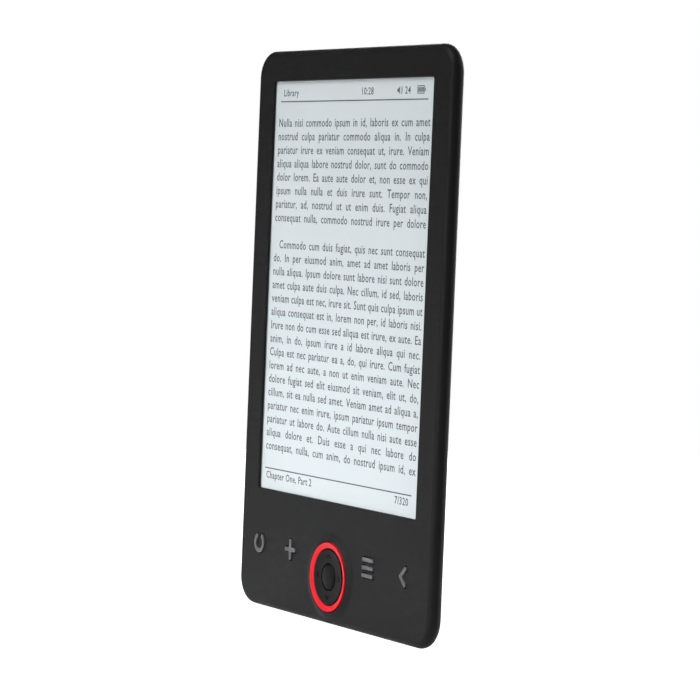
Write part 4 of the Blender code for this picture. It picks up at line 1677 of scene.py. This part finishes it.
    def printed(self) -> bpy.types.Object:
        """Return everything that is printed on the page, as one piece.

        Returns:
            The print.
        """
        bm = joined(self.paragraphs() + self.header() + self.footer())
        bmesh.ops.remove_doubles(bm, verts=bm.verts, dist=self.weld)
        return object_from(bm, "page_ink")


@dataclass
class Display(SubAssembly):
    """The display panel with its page, and the parts behind it."""

    window_z: float = WINDOW_Z
    film: float = 0.06 * MM
    ink_room: float = 0.012 * MM
    border: float = 1.6 * MM

    def build(self) -> None:
        """Build the panel, the film on it and the print."""
        low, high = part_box("display_panel")
        half_width, half_height = (high.x - low.x) / 2, (high.z - low.z) / 2
        centre = middle("display_panel")
        back = high.y - FRONT_Y
        front = PANEL_DEPTH + self.ink_room + self.film
        panel = prism("panel_glass", rounded_rectangle(half_width, half_height, MM, centre, 6),
                      front, back)
        self.settle(round_over(panel, 0.08 * MM), "housing", "display_paper", "display_panel")
        film = prism("page_film", rounded_rectangle(half_width - self.border, half_height - self.border,
                                                    0.8 * MM, centre, 6), front - self.film, front)
        self.settle(round_over(film, 0.015 * MM), "housing", "display_paper")
        self.settle(Page(self.window_z).printed(), "housing", "display_paper")

    def finish(self) -> None:
        """Dress the panel, the film, the print and the parts behind them."""
        for piece, finish in zip(list(self.pieces), (PANEL_EDGE, PAGE, INK)):
            self.dress(piece, finish.material())
        self.dress_node("display_foam", FOAM.material(), 0.1 * MM)
        self.dress_node("display_flex", FLEX.material())
        self.dress_node("display_connector", CONNECTOR_PLASTIC.material(), 0.12 * MM)
        self.dress_node("middle_frame", FRAME_METAL.material(), 0.1 * MM)


@dataclass
class Navigation(SubAssembly):
    """The red ring, the rocker that tilts inside it, and the OK button."""

    ring_outer: float = 10.0 * MM
    ring_inner: float = 8.3 * MM
    ring_rise: float = 1.1 * MM
    ring_dish: float = 0.4 * MM
    ring_edge: float = 0.2 * MM
    rocker_radius: float = 8.0 * MM
    rocker_flange: float = 9.2 * MM
    rocker_rise: float = 0.85 * MM
    rocker_dish: float = 0.3 * MM
    ok_radius: float = 3.65 * MM
    ok_gap: float = 0.35 * MM
    mark_reach: float = 6.2 * MM
    mark_depth: float = 0.25 * MM
    back: float = 2.4 * MM

    def ring(self) -> bpy.types.Object:
        """Return the trim ring, dished towards its middle.

        Returns:
            The ring.
        """
        top, low_top = -self.ring_rise, self.ring_dish - self.ring_rise
        edge, foot = self.ring_edge, 0.1 * MM
        outer = [(self.ring_outer - edge * b, top + edge * a) for a, b in quarter_turn(5)]
        inner = [(self.ring_inner + edge * a, low_top + edge * b) for a, b in quarter_turn(5)]
        return turned("red_ring", middle("trim_ring"),
                      [(self.ring_outer, foot)] + outer + inner + [(self.ring_inner, foot)], 144)

    def surface(self, radius: float) -> float:
        """Return the depth of the rocker's dished face at a radius.

        Args:
            radius: The radius.

        Returns:
            The depth.
        """
        hole = self.ok_radius + self.ok_gap
        part = (radius - hole) / (self.rocker_radius - hole)
        return -self.rocker_rise + self.rocker_dish * (1 - part * part)

    def rocker(self) -> bpy.types.Object:
        """Return the rocker with four engraved direction marks.

        Returns:
            The rocker.
        """
        hole = self.ok_radius + self.ok_gap
        rim, lip, steps = 0.22 * MM, 0.1 * MM, 14
        low_lip = self.surface(hole)
        face = [(hole, low_lip + lip), (hole + lip * 0.3, low_lip + lip * 0.3)]
        radii = [hole + lip + (self.rocker_radius - rim - hole - lip) * i / steps
                 for i in range(steps + 1)]
        face += [(radius, self.surface(radius)) for radius in radii]
        top = self.surface(self.rocker_radius - rim)
        face += [(self.rocker_radius - rim * a, top + rim * b) for a, b in quarter_turn(4)[1:]]
        wall, root = 2.0 * MM, 1.6 * MM
        profile = face + [(self.rocker_radius, wall), (self.rocker_flange, wall),
                          (self.rocker_flange, self.back), (5.2 * MM, self.back), (5.2 * MM, root),
                          (hole, root)]
        x, z = middle("trim_ring")
        rocker = turned("nav_disc", (x, z), profile, 128)
        marks = []
        floor = self.surface(self.mark_reach) + self.mark_depth
        for quarter in range(4):
            turn = quarter * math.pi / 2
            corners = [(x + a * math.cos(turn) - b * math.sin(turn),
                        z + a * math.sin(turn) + b * math.cos(turn)) for a, b in self.mark()]
            marks.append(prism("mark", corners, -CLEAR, floor))
        return combine(rocker, marks, "DIFFERENCE")

    def mark(self) -> Outline:
        """Return the small chevron that points away from the middle, on the right-hand side.

        Returns:
            Its corners about the rocker's middle.
        """
        tip, arm, stroke = 0.5 * MM, 1.05 * MM, 0.46 * MM
        reach = self.mark_reach
        return [(reach + tip, 0.0), (reach - tip, arm), (reach - tip - stroke, arm),
                (reach + tip - 1.5 * stroke, 0.0), (reach - tip - stroke, -arm), (reach - tip, -arm)]

    def button(self) -> bpy.types.Object:
        """Return the domed OK button.

        Returns:
            The button.
        """
        rim, crown, shoulder, steps = 0.15 * MM, 1.0 * MM, 0.55 * MM, 12
        flat = self.ok_radius - rim
        dome = [(flat * math.sin(math.pi / 2 * i / steps),
                 -shoulder - (crown - shoulder) * math.cos(math.pi / 2 * i / steps))
                for i in range(steps + 1)]
        dome += [(self.ok_radius - rim * a, -shoulder + rim * b) for a, b in quarter_turn(4)[1:]]
        collar, front = 4.6 * MM, 2.0 * MM
        return turned("ok_dome", middle("trim_ring"), dome + [
            (self.ok_radius, front), (collar, front), (collar, self.back), (0.0, self.back)], 96)

    def build(self) -> None:
        """Build the ring, the rocker and the button."""
        self.settle(smooth(self.ring(), 40.0), "housing", "red_trim", "trim_ring")
        self.settle(smooth(self.rocker()), "nav_rocker", "nav_plastic", "nav_rocker")
        self.settle(smooth(self.button()), "ok_button", "nav_plastic", "ok_button")

    def finish(self) -> None:
        """Dress the ring, the rocker, the button and the spring washer."""
        for piece, finish in zip(list(self.pieces), (RED_TRIM, NAV_PLASTIC, OK_PLASTIC)):
            self.dress(piece, finish.material())
        self.dress_node("nav_spring_washer", SPRING.material(), 0.05 * MM)


@dataclass
class PowerButton(SubAssembly):
    """The power button in the lower edge."""

    depth: float = 3.6 * MM
    half_width: float = 3.7 * MM
    half_depth: float = 0.5 * MM
    corner: float = 0.45 * MM
    edge: float = 0.18 * MM
    length: float = 2.8 * MM          # these lengths run up from the button's outer end
    flange_start: float = 2.4 * MM
    flange_end: float = 3.0 * MM
    flange_half_width: float = 5 * MM
    flange_half_depth: float = 0.7 * MM
    stem_start: float = 2.7 * MM
    stem_half_width: float = 1.2 * MM
    stem_front: float = 0.6 * MM      # how far the stem reaches from the button's middle
    stem_back: float = 0.1 * MM

    def build(self) -> None:
        """Build the button with its flange and stem."""
        low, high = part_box("power_button")
        x = middle("power_button")[0]
        levels = [(self.edge * b, low.z + self.edge * a) for a, b in quarter_turn(4)][::-1]
        levels.append((0.0, low.z + self.length))
        rings = [[at(px, depth, z) for px, depth in rounded_rectangle(
            self.half_width - shrink, self.half_depth - shrink, self.corner - shrink,
            (x, self.depth), 6)] for shrink, z in levels]
        button = loft("power_cap", rings)
        flange = block("flange", (x - self.flange_half_width, self.depth - self.flange_half_depth,
                                  low.z + self.flange_start),
                       (x + self.flange_half_width, self.depth + self.flange_half_depth,
                        low.z + self.flange_end))
        combine(button, [flange], "UNION")
        stem = block("stem", (x - self.stem_half_width, self.depth - self.stem_front,
                              low.z + self.stem_start),
                     (x + self.stem_half_width, self.depth + self.stem_back, high.z))
        combine(button, [stem], "UNION")
        self.settle(smooth(button), "power_button", "nav_plastic", "power_button")

    def finish(self) -> None:
        """Dress the button and its switch."""
        self.dress(self.pieces[0], NAV_PLASTIC.material())
        self.dress_node("power_switch", CHIP_PLASTIC.material(), 0.08 * MM)


@dataclass
class Electronics(SubAssembly):
    """The board, what is soldered to it, the battery and the sockets."""

    contact_count: int = 5

    def build(self) -> None:
        """Build the contacts on the charging socket's tongue."""
        x = middle("usb_socket")[0]
        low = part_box("usb_socket")[0].z
        pitch, half = 0.65 * MM, 0.16 * MM
        front, back, foot, tip = 3.8 * MM, 3.87 * MM, 1.0 * MM, 4.6 * MM
        first = -(self.contact_count - 1) / 2
        strips = [block("strip", (x + (first + i) * pitch - half, front, low + foot),
                        (x + (first + i) * pitch + half, back, low + tip))
                  for i in range(self.contact_count)]
        contacts = object_from(joined(strips), "usb_contacts")
        self.settle(round_over(contacts, 0.02 * MM), "housing", "tinned_steel")

    def finish(self) -> None:
        """Dress the contacts, the board and everything on it."""
        self.dress(self.pieces[0], GOLD.material())
        self.dress_node("main_board", BOARD.material(), 0.06 * MM)
        self.dress_node("battery", POUCH.material(), 0.7 * MM)
        self.dress_node("battery_lead_red", LEAD_RED.material())
        self.dress_node("battery_lead_black", LEAD_BLACK.material())
        for node in ("shield_can", "usb_socket", "card_slot"):
            self.dress_node(node, TIN.material(), 0.1 * MM)
        for node in ("processor", "memory_chip"):
            self.dress_node(node, CHIP_PLASTIC.material(), 0.1 * MM)
        for node in ("battery_socket", "reset_switch"):
            self.dress_node(node, CREAM_PLASTIC.material(), 0.12 * MM)
        self.dress_node("headphone_jack", CONNECTOR_PLASTIC.material(), 0.12 * MM)
        for number in range(1, 5):
            self.dress_node(f"board_screw_{number}", SCREW_STEEL.material(), 0.06 * MM)
        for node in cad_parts:
            if node.startswith("switch_"):
                self.dress_node(node, CHIP_PLASTIC.material(), 0.1 * MM)


# ---- studio -------------------------------------------------------------------------------
@dataclass
class StudioCamera:
    """A long lens to the right of the reader, turned a little on its axis."""

    place: tuple[float, float, float] = (0.7452, -0.4436, 0.0370)
    yaw: float = 59.5
    pitch: float = 2.69
    roll: float = 2.37
    lens: float = 154.86
    sensor: float = 36.0

    def build(self) -> None:
        """Make the camera and use it."""
        yaw, pitch, roll = (math.radians(a) for a in (self.yaw, self.pitch, self.roll))
        ahead = Vector((-math.sin(yaw) * math.cos(pitch), math.cos(yaw) * math.cos(pitch),
                        -math.sin(pitch)))
        right = Vector((math.cos(yaw), math.sin(yaw), 0.0))
        up = right.cross(ahead)
        across = right * math.cos(roll) + up * math.sin(roll)
        upward = up * math.cos(roll) - right * math.sin(roll)
        data = bpy.data.cameras.new("studio camera")
        data.lens, data.sensor_width = self.lens, self.sensor
        data.clip_start, data.clip_end = 0.01, 50.0
        camera = bpy.data.objects.new("studio camera", data)
        turn = Matrix((across, upward, -ahead)).transposed()
        camera.matrix_world = Matrix.Translation(self.place) @ turn.to_4x4()
        bpy.context.scene.camera = show(camera)


@dataclass(frozen=True)
class SoftBox:
    """A rectangular light that looks at one point."""

    name: str
    place: tuple[float, float, float]
    target: tuple[float, float, float]
    size: tuple[float, float]
    power: float
    spread: float = 180.0

    def build(self) -> None:
        """Hang the light."""
        data = bpy.data.lights.new(self.name, "AREA")
        data.shape = "RECTANGLE"
        data.size, data.size_y = self.size
        data.energy = self.power
        data.spread = math.radians(self.spread)
        lamp = bpy.data.objects.new(self.name, data)
        lamp.location = self.place
        lamp.visible_camera = False
        aim = Vector(self.target) - Vector(self.place)
        lamp.rotation_mode = "QUATERNION"
        lamp.rotation_quaternion = aim.to_track_quat("-Z", "Y")
        show(lamp)


@dataclass
class Studio:
    """A pale room: a small floor, white surroundings and soft lights."""

    floor_half: float = 0.55
    floor_glow: float = 0.2
    floor_white: float = 0.9
    surround: float = 0.09
    lights: tuple[SoftBox, ...] = (
        SoftBox("high front", (0.0, -0.6, 0.7), (0.0, 0.0, 0.0), (0.5, 0.5), 4.3),
        SoftBox("low front", (0.1, -0.8, 0.0), (0.0, 0.0, -0.08), (0.4, 0.15), 1.3),
        SoftBox("beam", (-0.4, -0.9, 0.45), (0.0, 0.0, -0.10), (0.15, 0.15), 0.09, 18.0),
        SoftBox("low left", (-0.95, -0.30, -0.02), (0.0, 0.0, -0.04), (0.3, 0.1), 0.1),
        SoftBox("white card", (-0.6, 1.1, 0.15), (0.0, 0.0, 0.0), (2.2, 1.4), 6.0),
        SoftBox("rear", (0.7, 0.9, 0.7), (0.0, 0.0, 0.0), (0.6, 0.6), 3.0),
        SoftBox("rear left", (-0.9, 0.8, 0.35), (0.0, 0.0, 0.0), (0.8, 0.8), 14.0),
    )

    def build(self) -> None:
        """Make the floor, the world and the lights, and set how light becomes colour."""
        low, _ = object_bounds()
        outline = rounded_rectangle(self.floor_half, self.floor_half, self.floor_half / 2, steps=12)
        bm = bmesh.new()
        bm.faces.new([bm.verts.new((x, y, low.z - 0.2 * MM)) for x, y in outline])
        floor = object_from(bm, "floor")
        floor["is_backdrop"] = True
        floor.data.materials.append(self.floor_material())
        self.build_world()
        for light in self.lights:
            light.build()
        bpy.context.scene.view_settings.view_transform = "Standard"

    def seen(self, graph: Graph, otherwise: float, by_camera: float) -> bpy.types.NodeSocket:
        """Return one value for what the camera sees directly and another for all other light."""
        path = graph.add("ShaderNodeLightPath")
        return graph.spread(path.outputs["Is Camera Ray"], 0.0, 1.0, otherwise, by_camera)

    def floor_material(self) -> bpy.types.Material:
        """Return the pale floor's material.

        Returns:
            The material.
        """
        material, graph, shader, place = start_material("floor")
        tone = graph.noise(place, 0.01, 2.0, 0.5)
        graph.feed(shader.inputs["Base Color"], graph.blend(tone, shade((0.70, 0.70, 0.70)),
                                                            shade((0.76, 0.76, 0.76))))
        shader.inputs["Roughness"].default_value = 0.9
        shader.inputs["Specular IOR Level"].default_value = 0.0
        shader.inputs["Emission Color"].default_value = shade((1.0, 1.0, 1.0))
        graph.feed(shader.inputs["Emission Strength"],
                   self.seen(graph, self.floor_glow, self.floor_white))
        return material

    def build_world(self) -> None:
        """Make surroundings that look white and light the object gently."""
        world = bpy.data.worlds.new("studio")
        world.use_nodes = True
        bpy.context.scene.world = world
        graph = Graph(world.node_tree)
        back = world.node_tree.nodes["Background"]
        graph.feed(back.inputs["Strength"], self.seen(graph, self.surround, 1.0))
        back.inputs["Color"].default_value = shade((1.0, 1.0, 1.0))


def main() -> None:
    """Build every sub-assembly, dress it and report its pieces."""
    logging.basicConfig(level=logging.INFO, format="%(message)s")
    StudioCamera().build()
    Studio().build()
    casing = Casing.measured()
    keys = [SymbolKey(symbol) for symbol in Symbol]
    assemblies = [FrontShell(casing, keys), RearShell(casing), Display(), Navigation(), *keys, PowerButton(),
                  Electronics()]
    for assembly in assemblies:
        assembly.build()
        assembly.finish()
        for piece in assembly.pieces:
            LOG.info("%s: %s, %d faces", type(assembly).__name__, piece.name, len(piece.data.polygons))


if __name__ == "__main__":
    main()
